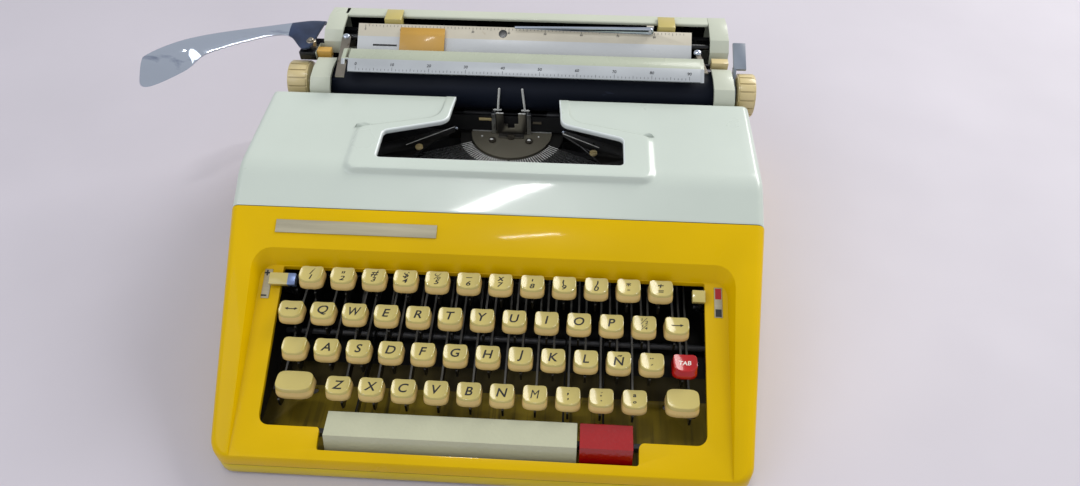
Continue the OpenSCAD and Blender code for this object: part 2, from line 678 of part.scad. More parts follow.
// the ribbon
module spool_cups() color("#2b2d2f") for (s = [-1, 1]) scale([s, 1, 1]) {
  difference() {
    translate([spool_x, spool_y, spool_z - 2]) cylinder(h = 3, r = spool_r + 2.5);
    translate([spool_x, spool_y, spool_z - 0.5]) cylinder(h = 10, r = spool_r + 1);
  }
  translate([spool_x, spool_y, spool_z - 1]) cylinder(h = ribbon_h + 9, r = 2.5);
  difference() {
    block(spool_x, plate_x + 2, spool_y - 6, spool_y + 6, spool_z - 2, spool_z - 0.5);
    translate([spool_x, spool_y, 50]) cylinder(h = 40, r = spool_r);
  }
}
module spool(s) color("#8d8f90") translate([s * spool_x, spool_y, 0]) difference() {
  union() {
    translate([0, 0, spool_z]) cylinder(h = 1.2, r = spool_r);
    translate([0, 0, spool_z + 1]) cylinder(h = ribbon_h + 1.6, r = pack_r);
    translate([0, 0, spool_z + ribbon_h + 2.4]) cylinder(h = 1.2, r = spool_r);
    translate([0, 0, spool_z + ribbon_h + 3]) cylinder(h = 3, r = 5);
  }
  translate([0, 0, 50]) cylinder(h = 50, r = 2.5 + run);
}
module ribbon_spool_left() spool(-1);
module ribbon_spool_right() spool(1);

module ribbon_vibrator() color("#7c7f82") translate([seg_x, 0, 0]) {
  for (s = [-1, 1]) scale([s, 1, 1]) {
    block(vib_x, vib_x + 3, ribbon_y - 1.5, ribbon_y - 0.7, seg_top + 0.3, ribbon_z + ribbon_h + 3);
    block(vib_x, vib_x + 3, ribbon_y + 0.9, ribbon_y + 1.7, ribbon_z - 0.4, ribbon_z + ribbon_h + 3);
    block(vib_x, vib_x + 3, ribbon_y - 1.5, ribbon_y + 1.7, ribbon_z + ribbon_h + 1.8,
          ribbon_z + ribbon_h + 3);
  }
}

// band from spool to spool, in front of the platen
module ribbon_half() {
  e = [post_x + post_r + 0.2, ribbon_y];
  d = e - [spool_x, spool_y];
  a = atan2(d[1], d[0]) - acos((pack_r + 0.3) / norm(d));
  t = [spool_x, spool_y] + (pack_r + 0.3) * [cos(a), sin(a)];
  translate([0, 0, ribbon_z]) linear_extrude(ribbon_h)
    polygon([[0, e[1]], e, t, t + 0.4 * [cos(a), sin(a)], e + [0.35, 0.4], [0, e[1] + 0.4]]);
}
module ribbon() color("#1d1d20") { ribbon_half(); mirror([1, 0, 0]) ribbon_half(); }

// the carriage
module carriage_frame() color("#202224") translate([cx, 0, 0]) {
  // runner over the rail
  block(-fr, fr, 116, 140, 82.3, 85.5);
  for (y = [[115.8, 117.4], [138.6, 140.2]]) block(15.5 - fr, fr - 15.5, y[0], y[1], 75, 84);
  for (y = [[117.4, 119.4], [136.6, 138.6]]) block(15.5 - fr, fr - 15.5, y[0], y[1], 76.6, 78.4);
  for (s = [-1, 1]) scale([s, 1, 1]) difference() {
    union() {
      yz(fr, fr_out) polygon([[82, 84.6], [82, 101], [90, 107], [103, 107], [104, 101], [113.5, 101],
                              [116.6, bar_top - 14], [120, bar_top - 8.5], [142, bar_top - 4], [142, 84.6]]);
      // pins of the paper bail and of the release lever
      rod_x(platen_half - 11.7, fr + 0.5, bail_pivot[0], bail_pivot[1], 2);
      rod_x(fr_out - 1, fr_out + 3.4, release_pivot[0], release_pivot[1], 1.2);
    }
    rod_x(fr - 5, fr_out + 7, platen_y, platen_z, shaft_r + run);
  }
  // curved pan under the platen
  rotate([0, 90, 0]) translate([-platen_z, platen_y, -fr - 1]) rotate([0, 0, -6])
    rotate_extrude(angle = 66)
    translate([platen_r + 0.8, 0]) square([1, 2 * fr + 2]);
}

function end_profile(e) = [[77 + e, 85.5], [77 + e, 99], [79 + e, 105 - e], [84 + e, 110.5 - e],
  [92, 113 - e], [103, 114 - e], [105, 110], [115, 110], [115.8, bar_top - 11 - e],
  [121, bar_top - 4.5 - e], [133, bar_top - e],
  [143 - e, bar_top - e], [146.5 - e, bar_top - 3 - e], [146.5 - e, 85.5]];
// plan of an end cover, e inside it: it narrows towards the rear
module end_plan(s, e) scale([s, 1, 1]) translate([0, 0, 80]) linear_extrude(60)
  polygon([[end_half - end_w + 3 - e * 2, 60], [end_half - e, 60], [end_half - e, 77],
           [end_half - 4.5 - e, 140],
           [end_half - 5 - e, 160], [end_half - end_w - e * 2, 160], [end_half - end_w - e * 2, 140],
           [end_half - end_w + 3 - e * 2, 77]]);
module end_cover(s) difference() {
  intersection() {
    yz(-200, 200) polygon(end_profile(0));
    end_plan(s, 0);
  }
  intersection() {
    yz(-200, 200) polygon(end_profile(2));
    end_plan(s, 2);
  }
  block(-200, 200, 60, 160, 79, 86);
  rod_x(-200, 200, platen_y, platen_z, shaft_r + 1);
  block(-200, 200, 105.2, 114.6, 108, 150);
}
module carriage_end_left() color("#cfd9cb") translate([cx, 0, 0]) {
  end_cover(-1);
  // bearing block of the return lever
  difference() {
    union() {
      block(-end_half - 12, -end_half - 0.2, 104, 122, block_z, 117);
      block(-end_half - 1, -end_half + 5, 116, 122, block_z, 117);
    }
    translate([-end_half - pivot_out, pivot_y, 100]) cylinder(h = 30, r = 2 + run);
  }
}
module carriage_end_right() color("#cfd9cb") translate([cx, 0, 0]) end_cover(1);

module carriage_rear_cover() color("#cfd9cb") translate([cx, 0, 0])
  yz(-end_half + end_w, end_half - end_w)
    polygon([[134, bar_top - 2.4], [134, bar_top - 0.6], [135, bar_top], [143, bar_top],
             [146.3, bar_top - 3], [146.3, 87],
             [144.3, 87], [144.3, bar_top - 4], [142.4, bar_top - 2.4], [135.6, bar_top - 2.4]]);

module margin_rail() color("#8f9396") translate([cx, 0, 0]) difference() {
  block(-fr, fr, rail_y, rail_y + 4, rail_z, rail_z + 6);
  for (i = [-50:50]) translate([i * 2.54, rail_y - 1, rail_z + 4.8]) rotate([0, 45, 0]) cube([1.2, 10, 1.2]);
}

module margin_stop(x) color("#ded9b8") difference() {
  union() {
    block(x - 6, x + 6, rail_y - 2.4, rail_y + 5.6, rail_z - 2.5, bar_top + 0.4);
    block(x - 6, x + 6, rail_y - 2.4, rail_y + 11, bar_top + 0.4, bar_top + 2);
  }
  block(x - 10, x + 10, rail_y - 0.3, rail_y + 4.3, rail_z - 5, rail_z + 6.3);
}
module margin_stop_left() margin_stop(-85);
module margin_stop_right() margin_stop(108);

table_pts = [[107.8, bar_top - 11.4], [115.5, bar_top - 5.6], [123.4, bar_top - 0.4],
             [124.6, bar_top - 1.6], [116.6, bar_top - 7.4], [109.2, bar_top - 12.8]];
module paper_table() translate([cx, 0, 0]) {
  color("#b9bab4") yz(17 - platen_half, platen_half - 17) polygon(table_pts);
  color("#55585a") translate([96 - cx, 0, 0]) {
    // lug and pin of the folding paper support
    block(-2.4, 2.4, 121.8, 123.4, bar_top - 1.4, bar_top + 4.2);
    translate([0, 123, bar_top + 1.8]) rotate([90, 0, 0]) cylinder(h = 3.6, r = 1);
  }
  color("#55585a") for (s = [-1, 1]) scale([s, 1, 1]) {
    yz(platen_half - 19, platen_half - 17)
      polygon([[109.2, bar_top - 12.6], [116, bar_top - 7.2], [124, bar_top - 1.4], [125, bar_top - 12.5],
               [118, bar_top - 14]]);
    rod_x(platen_half - 18, fr, 121.5, bar_top - 10.5, 2);
  }
}

module feed_rollers() translate([cx, 0, 0]) {
  color("#a7abad") rod_x(-fr, fr, 92, 78, 1.2);
  color("#26282a") for (x = [-90, -30, 30, 90]) rod_x(x - 12, x + 12, 92, 78, 3);
  color("#55585a") for (s = [-1, 1]) scale([s, 1, 1]) block(platen_half + 0.4, fr, 90, 94, 76, 90);
}

module platen() color("#171b26") translate([cx, 0, 0]) difference() {
  rod_x(-platen_half, platen_half, platen_y, platen_z, platen_r);
  rod_x(-200, 200, platen_y, platen_z, shaft_r);
}
module platen_shaft() color("#b9bdc0") translate([cx, 0, 0])
  rod_x(-end_half - knob_gap - knob_l + 1, end_half + 0.8 + knob_l, platen_y, platen_z, shaft_r);

module knob(x0, l) color("#d9bf86") difference() {
  union() {
    rod_x(x0, x0 + l, platen_y, platen_z, knob_r - 0.6);
    rod_x(x0 + 1, x0 + l - 1, platen_y, platen_z, knob_r);
  }
  rod_x(x0 - 1, x0 + l + 1, platen_y, platen_z, shaft_r);
  for (a = [0:22.5:359]) translate([x0 - 1, platen_y, platen_z]) rotate([a, 0, 0])
    translate([0, -0.5, knob_r - 0.7]) cube([l + 2, 1, 2]);
}
module platen_knob_left() translate([cx, 0, 0]) knob(-end_half - knob_gap - knob_l, knob_l);
module platen_knob_right() translate([cx, 0, 0]) knob(end_half + 3.6, knob_l - 2);

module paper_bail() translate([cx, 0, 0]) {
  arm = platen_half - 12;
  color("#cdd6c6") yz(2.5 - arm, arm)
    polygon([[85, 115.6], [93, 120.6], [103, 121.9], [103, 120.4], [93.6, 119.1], [85.8, 114.4]]);
  color("#b9b2a0") for (s = [-1, 1]) scale([s, 1, 1]) {
    difference() {
      union() {
        yz(arm, arm + 2.5) polygon([[85.2, 114.8], [93, 120.4], [103, 121.7], [127, 108], [127, 101],
                                    [118, 101],
                                    [104, 116.4], [94, 116.4]]);
        rod_x(arm, arm + 3.5, bail_pivot[0], bail_pivot[1], 4);
        rod_x(arm - 4, arm + 2.5, 94, 119.6, 0.8);
      }
      rod_x(arm - 12, arm + 18, bail_pivot[0], bail_pivot[1], 2 + run);
    }
  }
}

module return_lever() color("#c9cdd2") {
  px = cx - end_half - pivot_out;
  difference() {
    union() {
      translate([0, 0, 118]) linear_extrude(2.4)
        polygon([[px + 3, 118], [px + 4, 139], [-162, 133.5], [-186, 125.5], [-211, 117], [-229, 109],
                 [-241, 101], [-248, 90], [-236, 85], [-221, 95], [-210, 103], [-193, 111], [-179, 117.5],
                 [-161, 122.5], [-154.5, 117], [px - 7, 110]]);
      translate([px, pivot_y, 117.3]) cylinder(h = 4, r = 5);
    }
    translate([px, pivot_y, 100]) cylinder(h = 60, r = 2 - 0.01);
  }
  // pin in the bearing block
  translate([px, pivot_y, block_z + 0.6]) cylinder(h = 121.8 - block_z, r = 2);
  // finger plate, bent down and towards the typist
  translate([-219, 96, 123]) rotate([0, 0, 30]) rotate([52, 0, 0]) linear_extrude(2)
    polygon([[1, 0], [-34, 2], [-38, -2], [-41, -16], [-37, -20], [-6, -17], [-2, -12]]);
}

module release_lever(s) color("#d8b878") translate([cx, 0, 0]) {
  x0 = s < 0 ? 0.8 - end_half : end_half - 15;
  x1 = s < 0 ? 10.5 - end_half : end_half - 3.6;
  x2 = min(s * (fr_out + 0.4), s * (fr_out + 3.3));
  x3 = max(s * (fr_out + 0.4), s * (fr_out + 3.3));
  difference() {
    union() {
      block(x0, x1, 105.8, 111.6, 110.4, 117);
      rod_x(x2, x3, release_pivot[0], release_pivot[1], 3);
      block(x2, x3, 106.6, 111.4, release_pivot[1], 111);
    }
    rod_x(-200, 200, release_pivot[0], release_pivot[1], 1.2 + run);
  }
}
module release_lever_left() release_lever(-1);
module release_lever_right() release_lever(1);

module paper_release() translate([cx, 0, 0]) color("#70757a") {
  difference() {
    union() {
      rod_x(end_half + 0.5, end_half + 2.9, platen_y, platen_z, 8);
      translate([end_half + 0.5, platen_y, platen_z]) rotate([-28, 0, 0]) block(0.3, 2.1, -3, 3, 6, 19);
    }
    rod_x(0, 200, platen_y, platen_z, shaft_r + run);
  }
  translate([end_half + 0.5, platen_y, platen_z]) rotate([-28, 0, 0])
    translate([0.3, 0, 17.6]) rotate([-37, 0, 0])
    block(0.3, 9, -1, 1, 0, 21);
}

// saddle that slides along the paper table
module paper_guide() color("#d2b483")
  yz(-78.5, -47) polygon([[107, bar_top - 11.4], [115.2, bar_top - 5.1], [123.2, bar_top + 0.1],
                          [122.4, bar_top + 1.4], [114.2, bar_top - 3.9], [105.8, bar_top - 10.2],
                          [105.8, bar_top - 12.6], [108, bar_top - 14.3], [109, bar_top - 13.3],
                          [107, bar_top - 11.8]]);

module paper_support() color("#c4c6c8") {
  // tapered arm that lies along the table and folds up at its right end
  difference() {
    union() {
      xz(119.4, 121.4)
        polygon([[2, bar_top + 1], [2, bar_top + 2], [96, bar_top + 4.2], [96, bar_top - 0.6]]);
      translate([96, 121.4, bar_top + 1.8]) rotate([90, 0, 0]) cylinder(h = 2, r = 2.4);
    }
    translate([96, 125, bar_top + 1.8]) rotate([90, 0, 0]) cylinder(h = 10, r = 1 + run);
  }
}

base_pan();
feet();
keyboard_shell();
trim_plates();
chassis_sides();
chassis_cross();
lever_shafts();
lever_comb();
carriage_rail();
spool_cups();
ribbon();
card_holder();
basket_wings();
ribbon_cover();
segment();
segment_screws();
type_bars();
type_rest();
type_guide();
type_bar_h();
ribbon_vibrator();
ribbon_spool_left();
ribbon_spool_right();
keys_number_row();
keys_upper_row();
keys_home_row();
keys_lower_row();
key_h();
shift_left();
shift_right();
shift_lock();
tab_key();
backspace_key();
margin_release_key();
space_bar();
repeat_spacer();
touch_lever();
ribbon_selector();
carriage_frame();
carriage_end_left();
carriage_end_right();
carriage_rear_cover();
margin_rail();
paper_table();
feed_rollers();
platen();
platen_shaft();
platen_knob_left();
platen_knob_right();
paper_bail();
return_lever();
release_lever_left();
release_lever_right();
paper_release();
margin_stop_left();
margin_stop_right();
paper_guide();
paper_support();
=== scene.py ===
"""Manual typewriter: looks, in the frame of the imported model. Lengths below are in mm."""
import json
import math
import bmesh
import bpy
from mathutils import Matrix, Vector


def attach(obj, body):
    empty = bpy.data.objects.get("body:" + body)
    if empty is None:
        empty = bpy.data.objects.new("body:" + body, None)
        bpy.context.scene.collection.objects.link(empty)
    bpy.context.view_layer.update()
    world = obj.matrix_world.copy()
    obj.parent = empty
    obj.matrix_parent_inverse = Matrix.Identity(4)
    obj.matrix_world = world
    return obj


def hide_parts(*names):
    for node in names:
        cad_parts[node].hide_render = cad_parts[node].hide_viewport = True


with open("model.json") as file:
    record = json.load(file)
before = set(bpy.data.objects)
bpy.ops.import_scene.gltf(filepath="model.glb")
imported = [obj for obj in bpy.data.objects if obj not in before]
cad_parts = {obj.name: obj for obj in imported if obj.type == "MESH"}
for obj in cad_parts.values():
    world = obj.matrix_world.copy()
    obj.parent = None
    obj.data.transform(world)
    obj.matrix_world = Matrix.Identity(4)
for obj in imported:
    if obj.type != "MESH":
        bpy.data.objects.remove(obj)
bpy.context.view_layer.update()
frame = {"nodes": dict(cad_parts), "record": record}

MM = 0.001
scene = bpy.context.scene
NODES = frame["nodes"]
# The moving body that each node belongs to
BODY = {node: body for body, nodes in frame["record"]["behaviour"]["bodies"].items() for node in nodes}


# Materials
def lin(r, g, b):
    """A colour given as 0-255 display values, as linear light."""
    out = []
    for v in (r, g, b):
        v /= 255.0
        out.append(v / 12.92 if v <= 0.04045 else ((v + 0.055) / 1.055) ** 2.4)
    return tuple(out) + (1.0,)


def shaded(colour, factor):
    """The colour made darker or lighter by a factor."""
    return tuple(min(1.0, c * factor) for c in colour[:3]) + (1.0,)


def noise(tree, vector, scale, detail):
    """The strength of a noise texture."""
    node = tree.nodes.new("ShaderNodeTexNoise")
    node.inputs["Scale"].default_value = scale
    node.inputs["Detail"].default_value = detail
    tree.links.new(vector, node.inputs["Vector"])
    return node.outputs["Fac"]


def ramp(tree, value, start, end, low=(0, 0, 0, 1), high=(1, 1, 1, 1)):
    """Colours from low to high while the value goes from start to end."""
    node = tree.nodes.new("ShaderNodeValToRGB")
    first, last = node.color_ramp.elements
    first.position, first.color = start, low
    last.position, last.color = end, high
    tree.links.new(value, node.inputs[0])
    return node.outputs[0]


def mixed(tree, factor, below, above, blend="MIX"):
    """One colour laid over another; each value is a socket or a constant."""
    node = tree.nodes.new("ShaderNodeMix")
    node.data_type = "RGBA"
    node.blend_type = blend
    for index, value in ((0, factor), (6, below), (7, above)):
        if isinstance(value, bpy.types.NodeSocket):
            tree.links.new(value, node.inputs[index])
        else:
            node.inputs[index].default_value = value
    return node.outputs[2]


def ranged(tree, value, to_min, to_max=1.0, from_min=0.0, from_max=1.0):
    """The value moved from one range into another."""
    node = tree.nodes.new("ShaderNodeMapRange")
    for name, number in (("From Min", from_min), ("From Max", from_max),
                         ("To Min", to_min), ("To Max", to_max)):
        node.inputs[name].default_value = number
    tree.links.new(value, node.inputs["Value"])
    return node.outputs[0]


def bumped(tree, height, strength, distance, normal=None):
    """The surface's direction with a relief, laid over an earlier one where given."""
    node = tree.nodes.new("ShaderNodeBump")
    node.inputs["Strength"].default_value = strength
    node.inputs["Distance"].default_value = distance
    tree.links.new(height, node.inputs["Height"])
    if normal is not None:
        tree.links.new(normal, node.inputs["Normal"])
    return node.outputs[0]


# Every finish by name
M = {}
# Reach of the shade painted into corners and depths of the two reliefs, in metres, and pebbles to the metre
CORNER_SHADE_REACH, GRAIN_DEPTH, PEBBLE_DEPTH, PEBBLES = 0.006, 0.0004, 0.0005, 520


def finish_colour(tree, vector, colour, vary, scale, second, second_at, corner_shade, wear):
    """The mottled colour of a finish, with its patches, shade painted into its corners and worn edges."""
    base = lin(*colour)
    mottle = noise(tree, vector, scale, 5.0)
    out = ramp(tree, mottle, 0.3, 0.7, shaded(base, 1 - vary), shaded(base, 1 + vary))
    if second is not None:
        patches = ramp(tree, noise(tree, vector, scale * 3.1, 8.0), second_at, min(1.0, second_at + 0.12))
        out = mixed(tree, patches, out, lin(*second))
    # Painted shade: the colour is darkened where ambient occlusion finds corners and crevices
    if corner_shade > 0:
        corner = tree.nodes.new("ShaderNodeAmbientOcclusion")
        corner.inputs["Distance"].default_value = CORNER_SHADE_REACH
        corner.samples = 4
        shade = ranged(tree, corner.outputs["AO"], 1.0 - corner_shade, from_min=0.3, from_max=0.95)
        out = mixed(tree, 1.0, out, shade, "MULTIPLY")
    if wear is not None:
        edges = tree.nodes.new("ShaderNodeNewGeometry").outputs["Pointiness"]
        out = mixed(tree, ramp(tree, edges, 0.54, 0.62), out, lin(*wear))
    return out


def material(name, colour, rough=0.3, metal=0.0, vary=0.06, scale=60.0, rough_vary=0.08, bump=0.05,
             bump_scale=900.0, coat=0.0, coat_rough=0.1, second=None, second_at=0.6, ior=1.5,
             stretch=(1, 1, 1), pebble=0.0, wear=None, corner_shade=0.0):
    """Procedural finish: mottled colour, uneven roughness and fine bump.

    Colours are 0-255 display values. second is a colour in patches, wear a colour on sharp edges,
    the corner shade value the strength of the shade painted into corners.
    """
    m = bpy.data.materials.new(name)
    m.use_nodes = True
    tree = m.node_tree
    tree.nodes.clear()
    output = tree.nodes.new("ShaderNodeOutputMaterial")
    shader = tree.nodes.new("ShaderNodeBsdfPrincipled")
    tree.links.new(shader.outputs[0], output.inputs[0])
    for socket, number in (("Metallic", metal), ("IOR", ior), ("Coat Weight", coat),
                           ("Coat Roughness", coat_rough)):
        shader.inputs[socket].default_value = number
    place = tree.nodes.new("ShaderNodeTexCoord").outputs["Object"]
    mapping = tree.nodes.new("ShaderNodeMapping")
    mapping.inputs["Scale"].default_value = stretch
    tree.links.new(place, mapping.inputs["Vector"])
    vector = mapping.outputs[0]
    tree.links.new(finish_colour(tree, vector, colour, vary, scale, second, second_at, corner_shade, wear),
                   shader.inputs["Base Color"])
    tree.links.new(ranged(tree, noise(tree, vector, scale * 2.3, 6.0), max(0.02, rough - rough_vary),
                          min(1.0, rough + rough_vary)), shader.inputs["Roughness"])
    normal = bumped(tree, noise(tree, vector, bump_scale, 3.0), bump, GRAIN_DEPTH)
    if pebble > 0:
        pebbles = tree.nodes.new("ShaderNodeTexVoronoi")
        pebbles.feature = "SMOOTH_F1"
        pebbles.inputs["Scale"].default_value = PEBBLES
        tree.links.new(place, pebbles.inputs["Vector"])
        normal = bumped(tree, pebbles.outputs["Distance"], pebble, PEBBLE_DEPTH, normal)
    tree.links.new(normal, shader.inputs["Normal"])
    M[name] = m


# Finishes: case, pan and cover
material("yellow", (224, 182, 0), vary=0.05, scale=14, ior=1.16, coat=0.12, coat_rough=0.06, corner_shade=0.3)
# Painted shade: a dark olive copy of the housing's yellow for its undersides and inner walls
material("yellow_shade", (52, 46, 24), 0.6, vary=0.15, scale=20, bump=0.1)
material("pan", (216, 188, 20), 0.34, ior=1.35, scale=14, bump=0.06, coat=0.15, coat_rough=0.2, corner_shade=0.3)
# Near black: painted shade on the pan's inside and on the segment's fins and rear block, and the card
# holder's dark body
material("dark_and_shade", (26, 25, 22), 0.5, vary=0.2, scale=30, bump=0.1)
# Painted light on the pan's floor: dim in the middle, brighter at the front, with streaks of painted shadow
# along the levers
material("pan_half_light", (70, 60, 22), 0.45, vary=0.5, stretch=(1, 0.05, 1), bump=0.06)
material("pan_painted_light", (150, 128, 36), 0.4, vary=0.5, stretch=(1, 0.05, 1), bump=0.06, second=(90, 78, 30),
         second_at=0.55)
material("mint", (205, 214, 202), vary=0.03, scale=12, coat=0.35, coat_rough=0.05, corner_shade=0.2)
# Painted highlight: a whiter mint for the rolled lip round the cover's opening
material("mint_lip_highlight", (238, 244, 240), 0.2, vary=0.02, scale=30, bump=0.04, coat=0.4, coat_rough=0.05)
material("silver", (176, 168, 142), 0.5, metal=0.35, vary=0.08, scale=30, stretch=(1, 18, 18), bump=0.06,
         bump_scale=300, corner_shade=0.3)

# Finishes: keys
material("cream", (198, 181, 106), 0.2, vary=0.05, scale=45, bump=0.04, coat=0.3, coat_rough=0.08,
         corner_shade=0.2)
material("skirt", (216, 186, 118), vary=0.07, scale=45, corner_shade=0.2)
material("red", (176, 8, 12), 0.2, scale=40, coat=0.3, coat_rough=0.08, corner_shade=0.2)
material("red_pebble", (160, 6, 8), 0.22, vary=0.07, scale=40, bump=0.04, pebble=0.5, coat=0.5)
material("bar", (192, 192, 162), 0.24, vary=0.04, scale=30, bump=0.04, pebble=0.3, coat=0.35)
material("lever", (15, 15, 16), vary=0.3, scale=90, coat=0.12)
# Painted highlight: a lighter grey for the key levers' upper edges
material("lever_highlight", (112, 110, 104), 0.32, metal=0.3, vary=0.3, stretch=(8, 1, 1))
material("legend", (28, 28, 28), 0.5, vary=0.2, scale=400, bump=0.02)
material("legend_white", (240, 235, 225), 0.5, vary=0.05, scale=400, bump=0.02)

# Finishes: type basket and ribbon
material("basket_dark", (38, 36, 34), metal=0.55, vary=0.3, scale=90, bump=0.08, wear=(150, 150, 150))
material("segment", (54, 48, 39), 0.42, metal=0.3, vary=0.25, scale=120, bump=0.06, second=(40, 36, 30),
         second_at=0.62, wear=(120, 115, 100))
material("guide", (32, 29, 24), 0.5, vary=0.25, scale=120, bump=0.06, wear=(120, 115, 100))
material("type_bar", (70, 70, 72), 0.28, metal=0.9, vary=0.25, scale=160, wear=(190, 190, 190))
# Painted highlights: light grey for the type bars' tops near the segment and the wings' edges, a dimmer grey
# further out
material("bar_edge", (236, 232, 222), 0.35, vary=0.3, scale=160, bump=0.04)
material("bar_dim_highlight", (84, 82, 78), 0.4, metal=0.3, vary=0.35, scale=160, bump=0.04)
# Painted highlight: plain white for the card wires, the guide's top edges and the segment's strips and small
# heads
material("bright_edge", (232, 232, 226), vary=0.1, scale=120, bump=0.04)
material("ribbon", (13, 13, 15), 0.75, vary=0.25, scale=90, bump=0.3, bump_scale=2500)

# Finishes: carriage
material("end_mint", (204, 208, 188), vary=0.04, scale=20, coat=0.25, corner_shade=0.2)
material("tan", (220, 200, 146), vary=0.07, scale=40, coat=0.15, corner_shade=0.3)
material("tab_tan", (206, 160, 72), bump=0.04, coat=0.2)
material("slider", (196, 150, 62), 0.4, scale=40, coat=0.2, corner_shade=0.15)
material("platen", (15, 21, 34), 0.6, ior=1.3, vary=0.25, scale=50, stretch=(0.25, 1, 1), bump=0.08,
         bump_scale=500, second=(46, 54, 74), second_at=0.68)
material("rubber", (24, 24, 25), 0.7, vary=0.2, scale=80, bump=0.2)
material("table", (204, 206, 206), vary=0.04, scale=30, bump=0.04, corner_shade=0.2)
# Painted shade: a warmer, darker copy of the table's grey for its upper facet
material("table_facet_shade", (208, 200, 180), 0.4, scale=40, second=(176, 162, 134), second_at=0.66)
material("bail", (182, 188, 166), 0.28, vary=0.04, scale=30, bump=0.04, coat=0.2, corner_shade=0.15)
material("bail_scale", (186, 190, 192), 0.36, metal=0.1, vary=0.05, scale=40)
material("tick", (40, 42, 46), 0.6, vary=0.2, scale=300, bump=0.02)
material("grey_tab", (128, 136, 148), vary=0.1)

# Finishes: metal and black parts
material("steel", (170, 172, 174), metal=1.0, vary=0.1, scale=50, stretch=(1, 12, 12))
material("steel_dark", (34, 34, 36), 0.38, metal=0.4, vary=0.3, scale=70, bump=0.08, wear=(120, 120, 122),
         second=(60, 54, 46), second_at=0.66)
material("chrome", (206, 214, 226), 0.1, metal=1.0, vary=0.05, scale=30, rough_vary=0.05, bump=0.03,
         bump_scale=200, second=(120, 132, 160), second_at=0.62, stretch=(0.15, 1, 1))
# Painted dark reflection and shade: a dark blue for the chrome return lever's root
material("lever_root_reflection", (58, 70, 96), 0.2, metal=0.6, vary=0.3, scale=70, second=(90, 104, 140),
         second_at=0.7)
material("blue_steel", (120, 138, 178), metal=0.5, vary=0.1, bump=0.04)
material("nickel", (150, 142, 128), 0.32, metal=0.9, vary=0.15, scale=80, bump=0.08, second=(110, 98, 82),
         second_at=0.6)
material("brass", (228, 206, 150), 0.4, metal=0.3, vary=0.12, scale=120)
# Black for black parts, and as painted shade on the end cover's bearing block, under the rear cover's lip
# and in the table's slot
material("black", (16, 16, 18), 0.25, vary=0.2, bump=0.03)

# Finishes: the floor
material("floor", (205, 199, 206), 0.6, vary=0.03, scale=6, bump=0.02)


# Mesh helpers
def linked(name, data):
    """A new object in the scene."""
    o = bpy.data.objects.new(name, data)
    scene.collection.objects.link(o)
    return o


def finish_mesh(o, mats, body, angle=32.0, slot=None, replaces=(), smooth=True):
    """Gives an object its materials and shading, puts it under its moving body and hides the CAD parts that
    it replaces.
    """
    for name in [mats] if isinstance(mats, str) else mats:
        o.data.materials.append(M[name])
    if smooth:
        o.data.polygons.foreach_set("use_smooth", [True] * len(o.data.polygons))
        o.data.set_sharp_from_angle(angle=math.radians(angle))
    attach(o, body)
    if replaces:
        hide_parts(*replaces)
    return o


def mesh_object(name, bm):
    """An object from a bmesh whose points are in mm."""
    bmesh.ops.scale(bm, vec=(MM, MM, MM), verts=bm.verts)
    bmesh.ops.recalc_face_normals(bm, faces=bm.faces)
    mesh = bpy.data.meshes.new(name)
    bm.to_mesh(mesh)
    bm.free()
    return linked(name, mesh)


def add(name, bm, mats, body, **kw):
    """A new piece from a bmesh whose points are in mm."""
    return finish_mesh(mesh_object(name, bm), mats, body, **kw)


def edge_modifiers(o, wall, width, offset):
    """Gives a skin its wall and rounds the wall's edges; sizes in mm."""
    solid = o.modifiers.new("wall", "SOLIDIFY")
    solid.thickness = wall * MM
    solid.offset = offset
    rounding = o.modifiers.new("edge", "BEVEL")
    rounding.width = width * MM
    rounding.segments = 2
    rounding.limit_method = "ANGLE"
    rounding.angle_limit = math.radians(50)


def node_bmesh(node):
    """The CAD node's mesh in mm, welded and with its flat faces joined up."""
    bm = bmesh.new()
    bm.from_mesh(NODES[node].data)
    bmesh.ops.scale(bm, vec=(1 / MM, 1 / MM, 1 / MM), verts=bm.verts)
    bmesh.ops.remove_doubles(bm, verts=bm.verts, dist=0.002)
    bmesh.ops.dissolve_limit(bm, angle_limit=math.radians(0.6), verts=bm.verts, edges=bm.edges)
    return bm


def bevel(bm, offset, segments=2, min_angle=28.0):
    """Rounds the edges that turn by more than min_angle degrees."""
    chosen = [e for e in bm.edges
              if len(e.link_faces) == 2 and math.degrees(e.calc_face_angle(0.0)) >= min_angle]
    if chosen:
        bmesh.ops.bevel(bm, geom=chosen, offset=offset, segments=segments, profile=0.5,
                        affect="EDGES", clamp_overlap=True)


def box_of(points):
    """Lowest and highest corner of the points."""
    return (Vector([min(p[i] for p in points) for i in range(3)]),
            Vector([max(p[i] for p in points) for i in range(3)]))


def island_slots(bm, rule):
    """Gives each separate solid the material index that rule(its box) returns."""
    seen = set()
    for start in bm.faces:
        if start in seen:
            continue
        seen.add(start)
        stack, group = [start], []
        while stack:
            face = stack.pop()
            group.append(face)
            near = {other for e in face.edges for other in e.link_faces} - seen
            seen |= near
            stack.extend(near)
        index = rule(*box_of([v.co for f in group for v in f.verts]))
        for f in group:
            f.material_index = index


def paint(bm, test, index):
    """Gives the faces that test(centre, normal) accepts a material index."""
    for f in bm.faces:
        if test(f.calc_center_median(), f.normal):
            f.material_index = index


